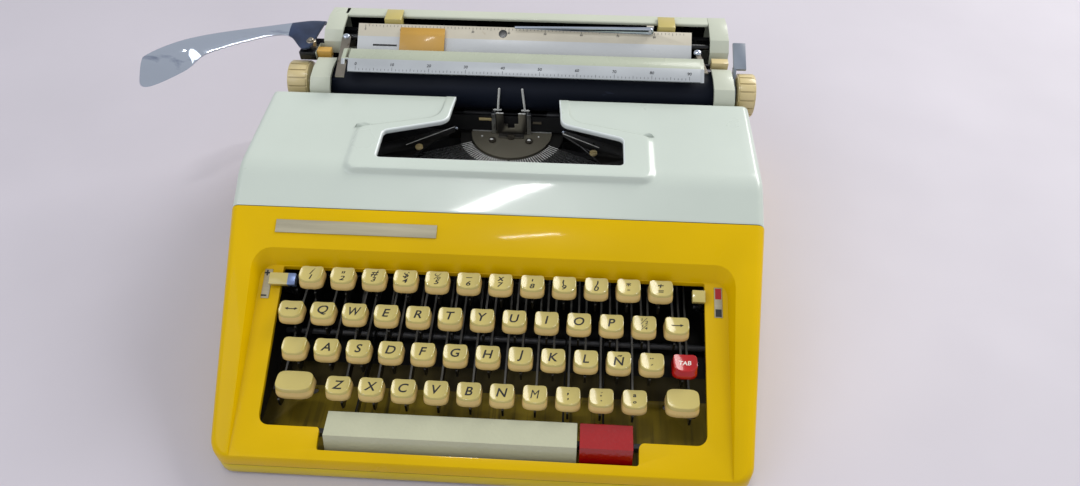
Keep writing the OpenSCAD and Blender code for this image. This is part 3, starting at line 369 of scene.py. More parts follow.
def form(node, mats, width=0.3, segments=2, slot=None, rule=None, paints=(), cuts=()):
    """The CAD form with its edges rounded, as a piece that stands for the node.

    rule sets the material of each solid, cuts divide faces along planes, paints set faces' materials.
    """
    bm = node_bmesh(node)
    bmesh.ops.recalc_face_normals(bm, faces=bm.faces)
    if rule is not None:
        island_slots(bm, rule)
    if width:
        bevel(bm, width, segments)
    bmesh.ops.recalc_face_normals(bm, faces=bm.faces)
    for axis, at in cuts:
        n = Vector([1.0 if a == axis else 0.0 for a in "xyz"])
        bmesh.ops.bisect_plane(bm, geom=bm.verts[:] + bm.edges[:] + bm.faces[:], plane_co=n * at, plane_no=n)
    bm.normal_update()
    for test, index in paints:
        paint(bm, test, index)
    return add(node + "_form", bm, mats, BODY[node], replaces=(node,), slot=slot)


def loop_faces(bm, rings, closed=True, caps=False, mat=0):
    """Joins rings of points, all of one length, into a skin. Returns its rows of points and its faces."""
    rows = [[bm.verts.new(p) for p in ring] for ring in rings]
    n = len(rings[0])
    faces = []
    for a, b in zip(rows, rows[1:]):
        for i in range(n if closed else n - 1):
            j = (i + 1) % n
            faces.append(bm.faces.new((a[i], a[j], b[j], b[i])))
    if caps:
        faces.append(bm.faces.new(rows[0][::-1]))
        faces.append(bm.faces.new(rows[-1]))
    for f in faces:
        f.material_index = mat
    return rows, faces


def prism(bm, profile, axis, a, b, mat=0):
    """A closed profile drawn out along axis x, y or z from a to b. Returns its faces."""
    def at(p, t):
        """A point of the profile put at t along the axis."""
        return {"x": (t, p[0], p[1]), "y": (p[0], t, p[1]), "z": (p[0], p[1], t)}[axis]
    return loop_faces(bm, [[at(p, t) for p in profile] for t in (a, b)], caps=True, mat=mat)[1]


def circle(centre, u, w, r, n):
    """n points of a circle in the plane of the unit vectors u and w."""
    turns = [2 * math.pi * j / n for j in range(n)]
    return [centre + r * (math.cos(a) * u + math.sin(a) * w) for a in turns]


def rod(bm, start, end, r, n):
    """A round wire between two points."""
    start, end = Vector(start), Vector(end)
    along = (end - start).normalized()
    u = along.orthogonal().normalized()
    loop_faces(bm, [circle(p, u, along.cross(u), r, n) for p in (start, end)], caps=True)


def lathe(bm, profile, origin, axis, n=64):
    """Turns (along, radius) pairs about an axis through origin."""
    origin, axis = Vector(origin), Vector(axis).normalized()
    u = axis.orthogonal().normalized()
    loop_faces(bm, [circle(origin + axis * a, u, axis.cross(u), r, n) for a, r in profile], caps=True)


def letters(text, size, shear=0.16, tall=1.0, wide=1.0):
    """Triangles of a line of plain lettering, centred on 0, 0, in mm."""
    curve = bpy.data.curves.new("letters", "FONT")
    curve.body = text
    curve.size = size
    curve.shear = shear
    # These glyphs fold over themselves when they are made bolder
    curve.offset = 0.0 if text in "M%½¼" else 0.014 * size
    curve.align_x = "CENTER"
    curve.align_y = "CENTER"
    curve.resolution_u = 4
    o = linked("letters", curve)
    depsgraph = bpy.context.evaluated_depsgraph_get()
    mesh = bpy.data.meshes.new_from_object(o.evaluated_get(depsgraph))
    bm = bmesh.new()
    bm.from_mesh(mesh)
    bpy.data.objects.remove(o)
    bpy.data.curves.remove(curve)
    bpy.data.meshes.remove(mesh)
    bmesh.ops.scale(bm, vec=(wide, tall, 1), verts=bm.verts)
    low, high = box_of([v.co for v in bm.verts])
    bmesh.ops.translate(bm, verts=bm.verts, vec=-(low + high) / 2)
    bmesh.ops.triangulate(bm, faces=bm.faces)
    # Short edges let the lettering follow a hollow key top
    for _ in range(4):
        long_edges = [e for e in bm.edges if e.calc_length() > 0.9]
        if not long_edges:
            break
        bmesh.ops.subdivide_edges(bm, edges=long_edges, cuts=1)
        bmesh.ops.triangulate(bm, faces=bm.faces)
    triangles = [[tuple(v.co) for v in f.verts] for f in bm.faces]
    bm.free()
    return triangles


def lay(bm, triangles, place):
    """Adds flat lettering triangles, each point put where place(x, y) says."""
    made = {}
    for triangle in triangles:
        verts = []
        for x, y, _ in triangle:
            key = (round(x, 4), round(y, 4))
            if key not in made:
                made[key] = bm.verts.new(place(x, y))
            verts.append(made[key])
        if len(set(verts)) == 3 and bm.faces.get(verts) is None:
            bm.faces.new(verts)


# Sizes repeated from the part
PITCH, ROW, RISE = 19.05, 19.05, 10.3
KEY_X, KEY_Y, KEY_Z = -108.1, -61.5, 72.0
SHAFT_Y, SHAFT_Z = 45.0, 47.0
CAP_W, CAP_D, CAP_H, STEM_H = 16.2, 16.0, 9.0, 10.0
LEVER_T, LEVER_H = 1.2, 7.0
CARRIAGE_X = 8.2
SEG_X, SEG_Y = 1.45, 82.0
BARS, BAR_STEP, MIDDLE_BAR = 44, 3.05, 22
LEVER_PIVOT = (CARRIAGE_X - 150.2, 112.0)
DECK_TILT = math.radians(23.2)
# The rows are staggered as on any typewriter
ROW_X = [KEY_X + PITCH * share for share in (0, 1 / 2, 3 / 4, 5 / 4)]


def row_y(row):
    """The middle of a row's caps, from front to rear."""
    return KEY_Y - ROW * row


def row_z(row):
    """The upper side of a row's caps."""
    return KEY_Z - RISE * row


# Keys
# Depth and radius of the hollow in a key's top
HOLLOW_TOP, FLAT_TOP, ARROW_BED = (1.6, 14.0), (0.35, 90.0), (1.5, 18.0)
# Legends sit a little behind the middle of a cap and just over its top
LEGEND_Y, LEGEND_LIFT = 0.9, 0.27
BIG_SIGN, SMALL_SIGN, WORD, SIGN_GAP = 8.6, 5.2, 4.2, 4.4
# Rings of a cap: insets at the sides, in front and at the rear, height, squareness
CAP_RINGS = [(1.6, 2.4, 1.9, -6.8, 5), (0.85, 1.55, 1.15, -7.1, 5), (0.75, 1.4, 1.0, -6.8, 5),
             (0.8, 1.5, 1.05, -5.2, 5), (0.9, 1.75, 1.1, -4.0, 4.8), (0.95, 1.9, 1.15, -3.8, 4.7),
             (1.05, 2.35, 1.2, -2.0, 4.4), (1.15, 2.8, 1.25, -0.7, 4.2), (1.25, 3.0, 1.35, -0.2, 4.1),
             (1.5, 3.3, 1.5, 0.03, 4.0)]
CAP_POINTS, SKIRT_ROWS, FRONT_BOW = 44, 6, 1.1
# Material indices of a key piece, whose top has index 0
SKIRT, LEVER, LEVER_HIGHLIGHT = 1, 2, 3


def dish(x, y, hollow):
    """Height of a key top over its centre, hollow from side to side and a little from front to rear."""
    depth, r = hollow
    return -depth + (r - math.sqrt(max(1.0, r * r - x * x))) + y * y / 160.0


def cap_ring(half_width, front, rear, square, bow):
    """A rounded rectangle whose front side bows back at its ends."""
    points = []
    middle, half_depth = (front + rear) / 2, (rear - front) / 2
    for i in range(CAP_POINTS):
        k = 2 * math.pi * (i + 0.5) / CAP_POINTS
        c, s = math.cos(k), math.sin(k)
        x = half_width * math.copysign(abs(c) ** (2.0 / square), c)
        y = half_depth * math.copysign(abs(s) ** (2.0 / square), s)
        if y < 0:
            y += bow * (x / half_width) ** 2 * (-y / half_depth)
        points.append((x, middle + y))
    return points


def add_cap(bm, cx, cy, cz, width=CAP_W, deep=CAP_D, hollow=HOLLOW_TOP):
    """A cap as one skin: rings up its skirt, then rings that shrink over its top."""
    half, front, rear = width / 2, -deep / 2, deep / 2
    rings = []
    for side_in, front_in, rear_in, z, square in CAP_RINGS:
        follow = max(0.0, min(1.0, (z + 2.2) / 2.2))
        ring = cap_ring(half - side_in, front + front_in, rear - rear_in, square, FRONT_BOW)
        rings.append([(cx + x, cy + y, cz + z + follow * (dish(x, y, hollow) + 0.25)) for x, y in ring])
    for t in (0.86, 0.7, 0.52, 0.34, 0.17, 0.05):
        ring = cap_ring((half - side_in) * t, (front + front_in) * t, (rear - rear_in) * t,
                        4.0 - (1 - t) * 1.7, FRONT_BOW * t)
        rings.append([(cx + x, cy + y, cz + 0.2 + dish(x, y, hollow)) for x, y in ring])
    faces = loop_faces(bm, rings, caps=True)[1]
    for f in faces[:SKIRT_ROWS * CAP_POINTS] + faces[-2:-1]:
        f.material_index = SKIRT


def add_lever(bm, x, row, stem_to=LEVER_T / 2):
    """The stem under a cap and the lever bar that it sits on, whose upper edge is painted lighter as a
    highlight.
    """
    y_end, cap_base = row_y(row), row_z(row) - CAP_H
    z_end, half = cap_base - STEM_H, LEVER_H / 2
    # The upper edge slopes from near the shaft to the key
    ya, za, yb, zb = SHAFT_Y - 6, SHAFT_Z + 4, y_end - 2.5, z_end + half

    def upper_edge(y):
        """Height of the lever's upper edge."""
        return za + (ya - y) * (zb - za) / (ya - yb)

    front, rear = y_end - 1.6, y_end + 1.6
    stem = [(front, cap_base + 4), (front, upper_edge(front)), (rear, upper_edge(rear)),
            (rear, cap_base + 4)]
    prism(bm, stem, "x", x - LEVER_T / 2, x + stem_to, LEVER)
    bar = [(SHAFT_Y + 6, SHAFT_Z - 5), (SHAFT_Y + 6, za), (ya, za), (yb, zb), (yb, z_end - half + 1),
           (y_end, z_end - half), (SHAFT_Y - 6, SHAFT_Z - 5)]
    faces = prism(bm, bar, "x", x - LEVER_T / 2, x + LEVER_T / 2, LEVER)
    # The upper edge face takes the painted highlight
    faces[2].material_index = LEVER_HIGHLIGHT


def add_legend(bm, cx, cy, cz, lines, size, gap=0.0):
    """One or two lines of lettering in the hollow of a key top."""
    single = len(lines) == 1
    for i, text in enumerate(lines):
        dy = 0 if single else (0.5 - i) * gap
        wide = 0.78 if text in ("M", "W") else 0.95 if single else (1.3, 1.15)[i]
        tall = 0.95 if single or i else 1.25
        lay(bm, letters(text, size, tall=tall, wide=wide),
            lambda x, y: (cx + x, cy + y + dy + LEGEND_Y, cz + LEGEND_LIFT + dish(x, y + dy, HOLLOW_TOP)))


def arrow(both):
    """Triangles of a flat arrow that points right; both gives it two heads."""
    triangles = []
    shaft = [-3.2 + 0.8 * i for i in range(9)]
    for a, b in zip(shaft, shaft[1:]):
        triangles.append([(a, -0.3, 0), (b, -0.3, 0), (b, 0.3, 0)])
        triangles.append([(a, -0.3, 0), (b, 0.3, 0), (a, 0.3, 0)])
    for s in (1, -1) if both else (1,):
        triangles.append([(s * 2.0, -1.0, 0), (s * 3.9, 0, 0), (s * 2.0, 1.0, 0)])
    return triangles


def add_mark(marks, x, y, z, legend):
    """An arrow, two signs one over the other, a word or a single sign."""
    if legend in ("both", "right"):
        lay(marks, arrow(legend == "both"),
            lambda a, b: (x + a, y + b + LEGEND_Y, z + LEGEND_LIFT + dish(a, b, ARROW_BED)))
    elif isinstance(legend, tuple):
        add_legend(marks, x, y, z, legend, SMALL_SIGN, gap=SIGN_GAP)
    else:
        add_legend(marks, x, y, z, [legend], BIG_SIGN if len(legend) == 1 else WORD)


def add_keys(name, node, caps, red=False):
    """The piece that holds the caps and levers of a node."""
    add(name + "_keys", caps, ["red" if red else "cream", "red" if red else "skirt", "lever", "lever_highlight"],
        BODY[node], replaces=(node,), slot="key_red" if red else "key_cream")


def key_set(name, node, row, keys, red=False):
    """Keys of one row that move together; keys holds (x, legend) pairs."""
    caps, marks = bmesh.new(), bmesh.new()
    y, z = row_y(row), row_z(row)
    for x, legend in keys:
        add_cap(caps, x, y, z)
        add_lever(caps, x, row)
        if legend is not None:
            add_mark(marks, x, y, z, legend)
    add_keys(name, node, caps, red)
    if marks.verts:
        add(name + "_legends", marks, "legend_white" if red else "legend", BODY[node], smooth=False)
    else:
        marks.free()


def shift_key(node, x, width, lever_x):
    """A wide, nearly flat key at an end of the lowest row."""
    caps = bmesh.new()
    add_cap(caps, x, row_y(3) + 0.6, row_z(3), width, 17.6, FLAT_TOP)
    add_lever(caps, lever_x, 3, stem_to=3.0)
    add_keys(node, node, caps)


LEGENDS = [
    [("/", "1"), ('"', "2"), ("#", "3"), ("$", "4"), ("%", "5"), ("_", "6"), ("x", "7"), ("'", "8"),
     ("(", "9"), (")", "0"), ("*", "-"), ("+", "=")],
    ["Q", "W", "E", "R", "T", "Y", "U", "I", "O", "P", ("½", "¼")],
    ["A", "S", "D", "F", "G", "H", "J", "K", "L", "Ñ", ("¨", "´")],
    ["Z", "X", "C", "V", "B", "N", "M", (";", ","), (":", "."), ("ª", "º")],
]
for row, name in enumerate(("number_row", "upper_row", "home_row", "lower_row")):
    places = [(ROW_X[row] + i * PITCH, legend) for i, legend in enumerate(LEGENDS[row])]
    # H drives the type bar that moves, so it is a piece of its own
    key_set(name, "keys_" + name, row, [key for key in places if key[1] != "H"])
key_set("h", "key_h", 2, [(ROW_X[2] + LEGENDS[2].index("H") * PITCH, "H")])
HOME_END = ROW_X[2] + 11 * PITCH
shift_key("shift_left", KEY_X - 2.1, 23.5, KEY_X - 14.1)
shift_key("shift_right", HOME_END - 1.2, 21.0, HOME_END + 4.7)
key_set("lock", "shift_lock", 2, [(ROW_X[2] - PITCH, None)])
key_set("tab", "tab_key", 2, [(HOME_END, "TAB")], red=True)
key_set("backspace", "backspace_key", 1, [(ROW_X[1] + 11 * PITCH, "right")])
key_set("margin_release", "margin_release_key", 1, [(ROW_X[1] - PITCH, "both")])


# Forms taken from the CAD, with their edges rounded
SIMPLE_FORMS = (
    ("rubber", 0.4, "rubber_black", ("feet",)),
    ("rubber", 0.2, "rubber_black", ("type_rest",)),
    ("silver", 0.12, "trim_silver", ("trim_plates",)),
    ("steel_dark", 0.2, "steel_dark", ("chassis_sides", "chassis_cross", "spool_cups")),
    ("steel_dark", 0, "steel_dark", ("lever_comb",)),
    ("steel_dark", 0, "steel_bright", ("lever_shafts",)),
    ("steel", 0.3, "steel_bright", ("carriage_rail",)),
    ("steel", 0.15, "steel_bright", ("ribbon_vibrator",)),
    ("steel", 0.2, "steel_bright", ("ribbon_spool_left", "ribbon_spool_right")),
    ("steel", 0.4, "steel_bright", ("platen_shaft",)),
    ("ribbon", 0, "ribbon_black", ("ribbon",)),
    ("segment", 0.3, "chrome", ("segment_screws",)),
    ("black", 0.3, "steel_dark", ("carriage_frame",)),
    ("black", 0, "steel_bright", ("margin_rail",)),
    ("platen", 0.4, "platen_rubber", ("platen",)),
    ("tan", 0.25, "tan_plastic", ("platen_knob_left", "platen_knob_right")),
    ("tan", 0.5, "tan_plastic", ("release_lever_right",)),
    ("tab_tan", 0.5, "tan_plastic", ("release_lever_left",)),
    ("grey_tab", 0.4, "lever_grey", ("paper_release",)),
    ("cream", 0.4, "key_cream", ("margin_stop_left", "margin_stop_right")),
    ("chrome", 0.2, "chrome", ("paper_support",)))
for mat, width, slot, nodes in SIMPLE_FORMS:
    for node in nodes:
        form(node, mat, width, slot=slot)


# Places in the CAD where a form changes its colour, for its finish and for painted light and shade
MID_FLOOR_Y, FRONT_FLOOR_Y = -78, -96
UPRIGHT, SHELL_BASE_Z, RIM_X, RIM_FRONT_Y = 0.15, 13, 145, -152
WING_Z, BRASS_X, BRASS_Y, BRASS_R = 78.2, 60, 51, 2.83
WIRE_FOOT_Z, GUIDE_TOP_Z, TRAY_Z = 87.9, 88, 60
TOUCH_PLATE_X, END_INNER_X, END_STEP_Z, REAR_LIP_Z = -123.2, -139.2, 119, 127
TABLE_CREASE_Y, TABLE_HALF, GUIDE_REAR_Y = 116.5, 117.2, 119.5


def inward(c, n):
    """Whether a face at c with normal n looks towards the middle of the case."""
    return n.x * c.x + n.y * c.y < 0


def pan_floor(c, n):
    """Whether a face is on the upper side of the pan's floor."""
    return 3.5 < c.z < 5 and n.z > 0.5


def inner_wall(c, n):
    """Upright faces of the housing inside its rim, behind its deck and in front of the keys."""
    return abs(n.z) < UPRIGHT and inward(c, n) and (abs(c.x) > RIM_X or c.y > 0 or c.y < RIM_FRONT_Y)


# Painted light and shade: the pan's inside is painted near black, and its floor is painted lighter towards
# the front, where light falls through the key opening, with streaks of painted shadow
form("base_pan", ["pan", "dark_and_shade", "pan_half_light", "pan_painted_light"], 0.8, slot="case_yellow",
     cuts=(("y", MID_FLOOR_Y), ("y", FRONT_FLOOR_Y)),
     paints=((lambda c, n: pan_floor(c, n) or 3.5 < c.z < 60 and inward(c, n), 1),
             (lambda c, n: pan_floor(c, n) and c.y < MID_FLOOR_Y, 2),
             (lambda c, n: pan_floor(c, n) and c.y < FRONT_FLOOR_Y, 3)))
# The shell's undersides and inner walls take the dark copy of its yellow as painted shade
form("keyboard_shell", ["yellow", "yellow_shade"], 0.7, 3, slot="case_yellow",
     paints=((lambda c, n: n.z < -UPRIGHT and c.z > SHELL_BASE_Z, 1), (inner_wall, 1)))
# The card holder's parts above the wires' feet are painted white as a highlight
form("card_holder", ["dark_and_shade", "bright_edge"], 0.15, slot="chrome",
     paints=((lambda c, n: c.z > WIRE_FOOT_Z, 1),))
form("basket_wings", ["basket_dark", "brass"], 0.25, slot="steel_dark",
     paints=((lambda c, n: math.hypot(abs(c.x) - BRASS_X, c.y - BRASS_Y) < BRASS_R and c.z > WING_Z, 1),))
# The moving bar's top faces are painted light as a highlight
form("type_bar_h", ["type_bar", "bar_edge"], 0, slot="steel_dark", paints=((lambda c, n: n.z > 0.9, 1),))
# The guide's top faces are painted white as a highlight
form("type_guide", ["guide", "bright_edge"], 0.1, slot="steel_dark",
     paints=((lambda c, n: n.z > 0.9 and c.z > GUIDE_TOP_Z, 1),))
form("touch_lever", ["cream", "blue_steel", "black"], 0.3, slot="key_cream", cuts=(("x", TOUCH_PLATE_X),),
     paints=((lambda c, n: c.x > TOUCH_PLATE_X, 1), (lambda c, n: c.z < TRAY_Z, 2)))
form("ribbon_selector", ["cream", "black"], 0.3, slot="key_cream", paints=((lambda c, n: c.z < TRAY_Z, 1),))
# The bearing block of this cover is painted black as shade
end_left = form("carriage_end_left", ["end_mint", "black"], 1.0, 3, slot="cover_mint",
                paints=((lambda c, n: c.x < END_INNER_X and c.z < END_STEP_Z, 1),))
# This cover widens towards its rear; object points are in metres
for v in end_left.data.vertices:
    v.co.x += 3 * MM * max(0.0, min(1.0, (v.co.y - 95 * MM) / (50 * MM)))
form("carriage_end_right", "end_mint", 1.0, 3, slot="cover_mint")
# The rear cover's front faces below its lip are painted black as shade
form("carriage_rear_cover", ["end_mint", "black"], 0.5, 3, slot="cover_mint",
     paints=((lambda c, n: n.y < -0.5 and c.z < REAR_LIP_Z, 1),))
# The table's upper facet is painted in the shaded beige
form("paper_table", ["table", "black", "table_facet_shade"], 0.3, slot="table_grey",
     rule=lambda low, high: 0 if high.x - low.x > 100 else 1,
     paints=((lambda c, n: n.z > 0.5 and c.y > TABLE_CREASE_Y, 2),
             (lambda c, n: abs(c.x - CARRIAGE_X) > TABLE_HALF, 1)))
form("feed_rollers", ["steel_dark", "rubber"], 0.2, slot="rubber_black",
     rule=lambda low, high: 1 if 20 < high.x - low.x < 30 else 0)
form("paper_bail", ["bail", "nickel", "bail_scale"], 0.25, slot="table_grey",
     rule=lambda low, high: 0 if high.x - low.x > 100 else 1,
     paints=((lambda c, n: n.y < -0.4 and c.y < 94 and 112 < c.z < 121, 2),))
guide = form("paper_guide", "slider", 0.25, slot="tan_plastic")
# The slider's rear end is pressed down onto the table
for v in guide.data.vertices:
    over = max(0.0, v.co.y - GUIDE_REAR_Y * MM)
    v.co.y -= 0.95 * over
    v.co.z -= 0.65 * over


def spacer(node, mat, slot):
    """The CAD's thin arms under a new cap with a flat top, a crisp crease and a flat front."""
    bm = node_bmesh(node)
    low, high = box_of([v.co for v in bm.verts if v.co.y < -120 and v.co.z > 17])
    island_slots(bm, lambda a, b: 0 if b.x - a.x < 4 else 1)
    bmesh.ops.delete(bm, geom=[f for f in bm.faces if f.material_index == 1], context="FACES")
    bmesh.ops.delete(bm, geom=[v for v in bm.verts if not v.link_faces], context="VERTS")
    add(node + "_arms", bm, "lever", BODY[node], replaces=(node,), slot="steel_dark")
    front, rear, base, top = low.y, high.y - 3.2, low.z, high.z
    cap = bmesh.new()
    prism(cap, [(front + 0.2, base), (front + 4.4, top - 0.9), (rear - 0.5, top - 0.1), (rear, top - 0.6),
                (rear, base)], "x", low.x, high.x)
    bevel(cap, 0.4)
    add(node + "_cap", cap, mat, BODY[node], slot=slot)


spacer("space_bar", "bar", "bar_cream")
spacer("repeat_spacer", "red_pebble", "key_red")


# Type basket
DISC_R, DISC_Z, FIN_R, FIN_Z, BASKET_Z = 28.9, 70.0, 37.0, 68.2, 62.0
BLOCK_HALF, BLOCK_REAR, BLOCK_Z, EDGE_Z = 46, 93.7, 69, 70.5
SLOT_HALF = math.degrees(0.55 / 33)
# Parts of a bar at rest: inner and outer radius, width, lower and upper height, material of its top
# Tops with material 1 and 2 are painted highlights, bright near the segment and dimmer further out
BAR_PARTS = ((30.2, 38, 0.6, 64, 69, 1), (38, 47, 0.6, 64, 69, 2), (47, 82.7, 0.7, 64, 68.95, 0),
             (79.7, 83.7, 2.6, 65.5, 72.5, 0))


def bar_angle(i):
    """Direction of type bar i from the segment's centre, in degrees."""
    return 270 + (i - MIDDLE_BAR) * BAR_STEP


def arc_block(bm, r0, r1, a0, a1, z0, z1, mat, n=1):
    """A block between two radii and two angles (degrees) about the segment's centre."""
    rings = []
    for k in range(n + 1):
        a = math.radians(a0 + (a1 - a0) * k / n)
        rings.append([(SEG_X + r * math.cos(a), SEG_Y + r * math.sin(a), z)
                      for r, z in ((r0, z0), (r1, z0), (r1, z1), (r0, z1))])
    loop_faces(bm, rings, caps=True, mat=mat)


def segment():
    """A half disc, the slotted fins round it and the block behind, painted near black as shade, and two
    strips painted white as highlights.
    """
    bm = bmesh.new()
    arc_block(bm, 0.5, DISC_R, 180, 360, BASKET_Z, DISC_Z, 0, 60)
    bounds = [180] + [bar_angle(i) for i in range(BARS)] + [360]
    # The fins round the disc are painted near black as shade
    for k, (a, b) in enumerate(zip(bounds, bounds[1:])):
        first, last = k == 0, k == BARS
        arc_block(bm, DISC_R + 0.05, FIN_R, a if first else a + SLOT_HALF, b if last else b - SLOT_HALF,
                  BASKET_Z, FIN_Z, 1, 10 if first or last else 1)
    # The block behind is painted near black as shade
    front = SEG_Y + 0.02
    prism(bm, [(front, BASKET_Z), (BLOCK_REAR, BASKET_Z), (BLOCK_REAR, BLOCK_Z), (front, BLOCK_Z)], "x",
          SEG_X - BLOCK_HALF, SEG_X + BLOCK_HALF, 1)
    base, y0, y1 = DISC_Z + 0.02, SEG_Y - 0.5, SEG_Y + 0.3
    # Two strips along the segment's straight edge, painted white as highlights
    for x0, x1 in ((-28.5, -11), (11, 28.5)):
        prism(bm, [(y0, base), (y1, base), (y1, EDGE_Z), (y0, EDGE_Z)], "x", SEG_X + x0, SEG_X + x1, 2)
    add("segment_form", bm, ["segment", "dark_and_shade", "bright_edge"], BODY["segment"], replaces=("segment",),
        slot="steel_dark")


def bar_shape(bm, angle):
    """One type bar lying at rest; the top of its inner end is painted light as a highlight in the slot,
    dimmer further out.
    """
    turn = Matrix.Translation((SEG_X, SEG_Y, 0)) @ Matrix.Rotation(math.radians(angle), 4, "Z")
    for r0, r1, width, z0, z1, mat in BAR_PARTS:
        half = width / 2
        faces = prism(bm, [(-half, z0), (half, z0), (half, z1), (-half, z1)], "x", r0, r1)
        faces[2].material_index = mat
        for v in {v for f in faces for v in f.verts}:
            v.co = turn @ v.co


def type_bars():
    """All the bars but the one that moves."""
    bm = bmesh.new()
    for i in range(BARS):
        if i != MIDDLE_BAR:
            bar_shape(bm, bar_angle(i))
    add("type_bars_form", bm, ["type_bar", "bar_edge", "bar_dim_highlight"], BODY["type_bars"],
        replaces=("type_bars",), slot="steel_dark")


def card_wires():
    """The two wires that hold a card at the printing point, each with a small foot."""
    length, lean = 19.2, math.radians(-5)
    bm = bmesh.new()
    for side in (-1, 1):
        x = SEG_X + side * 9.6
        tip = (x + side * length * math.sin(lean), 83.6, 87 + length * math.cos(lean))
        rod(bm, (x, 83.6, 87.6), tip, 0.8, 10)
        prism(bm, [(83, 87.7), (83.9, 87.7), (83.9, 88.4), (83, 88.4)], "x", x - 2.6, x + 2.6)
    # The wires are painted white as a highlight
    add("card_wires", bm, "bright_edge", BODY["card_holder"], slot="chrome")


def wing_edges():
    """Thin rods along the dark wings' folded edges, painted light as highlights."""
    bm = bmesh.new()
    for start, end in (((-69.6, 53.4), (-38.2, 75.3)), ((38.5, 71.4), (64, 57.5))):
        rod(bm, (*start, WING_Z), (*end, WING_Z), 0.3, 6)
    add("wing_edges", bm, "bar_edge", BODY["basket_wings"], slot="steel_dark")


segment()
type_bars()
card_wires()
wing_edges()


# Ribbon cover
COVER_Z, SEAM_Y, SEAM_Z, SLOPE, CREASE_R, COVER_REAR = 104.0, 24.6, 90.7, math.radians(27.5), 30.0, 75.0
CREASE_Y = (COVER_Z - SEAM_Z) / math.tan(SLOPE) - SEAM_Y + CREASE_R * math.tan(SLOPE / 2)
COVER_HALF, COVER_FRONT, ROLL_R, SKIRT_Z, COVER_WALL = 158.7, 0.4 - SEAM_Y, 5.0, 58.4, 2.3
PANEL_Z, LIP_R, LIP_BASE = COVER_Z + 1.5, 1.3, 102.2
LIP_STEPS, PANEL_STEPS, BORDER_STEPS, ROLL_STEPS, FILLET_STEPS = 6, 8, 18, 7, 8
# Points along each straight stretch of a notched outline, from the rear left to the rear right
STRETCHES = (8, 20, 22, 90, 22, 20, 8)


def notched(*right):
    """A whole outline, anticlockwise from the front left, from its right half's (x, y, radius) corners."""
    left = [(-x, y, r) for x, y, r in reversed(right)]
    return left[-1:] + list(right) + left[:-1]


OPENING = notched((78, 9.2, 3), (78, 35, 4), (37.3, 48, 8), (34.5, 87, 1))
PANEL = notched((93, -1.5, 5), (93, 37.9, 6), (42.6, 51.2, 11), (40.2, 87, 1))
PANEL_FOOT = notched((98.5, -3.9, 8), (98.5, 39.6, 8), (44.4, 53.8, 12), (42.2, 87, 1))


def cover_base(y):
    """Height of the cover's skin without its raised panel."""
    if y >= CREASE_Y:
        return COVER_Z
    if y >= CREASE_Y - CREASE_R * math.sin(SLOPE):
        return COVER_Z - CREASE_R + math.sqrt(CREASE_R ** 2 - (y - CREASE_Y) ** 2)
    return SEAM_Z + math.tan(SLOPE) * (y + SEAM_Y)


def corner(outline, i):
    """Corner i of an outline, the directions into and out of it, and +1 for a left turn or -1."""
    before, here, after = (Vector(outline[k % len(outline)][:2]) for k in (i - 1, i, i + 1))
    u, v = (here - before).normalized(), (after - here).normalized()
    return here, u, v, 1 if u.x * v.y - u.y * v.x > 0 else -1


def grown(outline, e):
    """The outline moved outwards by e."""
    out = []
    for i, (_, _, r) in enumerate(outline):
        here, u, v, turn = corner(outline, i)
        n, m = Vector((u.y, -u.x)), Vector((v.y, -v.x))
        at = here + e / (1 + n.dot(m)) * (n + m)
        out.append((at.x, at.y, max(0.2, r + turn * e)))
    return out


def u_strip(outline):
    """Points from the rear left end of a notched outline, round its front, to the rear right end."""
    stops = []
    for i in (6, 7, 0, 1, 2, 3):
        here, u, v, turn = corner(outline, i)
        angle = math.acos(max(-1, min(1, u.dot(v))))
        r = outline[i][2]
        centre = here - u * r * math.tan(angle / 2) + turn * r * Vector((-u.y, u.x))
        steps = [angle * j / FILLET_STEPS for j in range(FILLET_STEPS + 1)]
        stops.append([centre + turn * r * Vector((u.y * math.cos(a) + u.x * math.sin(a) * turn,
                                                  -u.x * math.cos(a) + u.y * math.sin(a) * turn))
                      for a in steps])

    def at_rear(q, corner_number):
        """Where the line from q to a corner meets the cover's rear edge."""
        far = Vector(outline[corner_number][:2])
        return q.lerp(far, (COVER_REAR - q.y) / (far.y - q.y))

    stops = [[at_rear(stops[0][0], 5)]] + stops + [[at_rear(stops[-1][-1], 4)]]
    out = []
    for parts, here, after in zip(STRETCHES, stops, stops[1:]):
        out += here
        out += [here[-1].lerp(after[0], j / parts) for j in range(1, parts)]
    return out + stops[-1]


def sunk(x, y, z):
    """A point of the raised panel, which gets flatter near the cover's rear edge."""
    share = max(0.25, min(1.0, (COVER_REAR - y) / 14))
    return x, y, min(z, COVER_Z + (z - COVER_Z) * share)


def panel_rings(inner, outer):
    """From inside the opening over its round lip and the raised panel down to the panel's foot."""
    rings = [[(q.x, q.y, LIP_BASE) for q in u_strip(OPENING)]]
    for k in range(LIP_STEPS + 1):
        a = math.pi / 2 * k / LIP_STEPS
        lip = u_strip(grown(OPENING, LIP_R * (1 - math.cos(a))))
        rings.append([(q.x, q.y, PANEL_Z - LIP_R + LIP_R * math.sin(a)) for q in lip])
    for t in (0.35, 0.7, 1.0):
        rings.append([(*a.lerp(b, t), PANEL_Z) for a, b in zip(lip, inner)])
    for k in range(1, PANEL_STEPS + 1):
        t = k / PANEL_STEPS
        share = 1 - t * t * (3 - 2 * t)
        points = [a.lerp(b, t) for a, b in zip(inner, outer)]
        rings.append([(q.x, q.y, cover_base(q.y) + (PANEL_Z - cover_base(q.y)) * share) for q in points])
    return [[sunk(*p) for p in ring] for ring in rings]


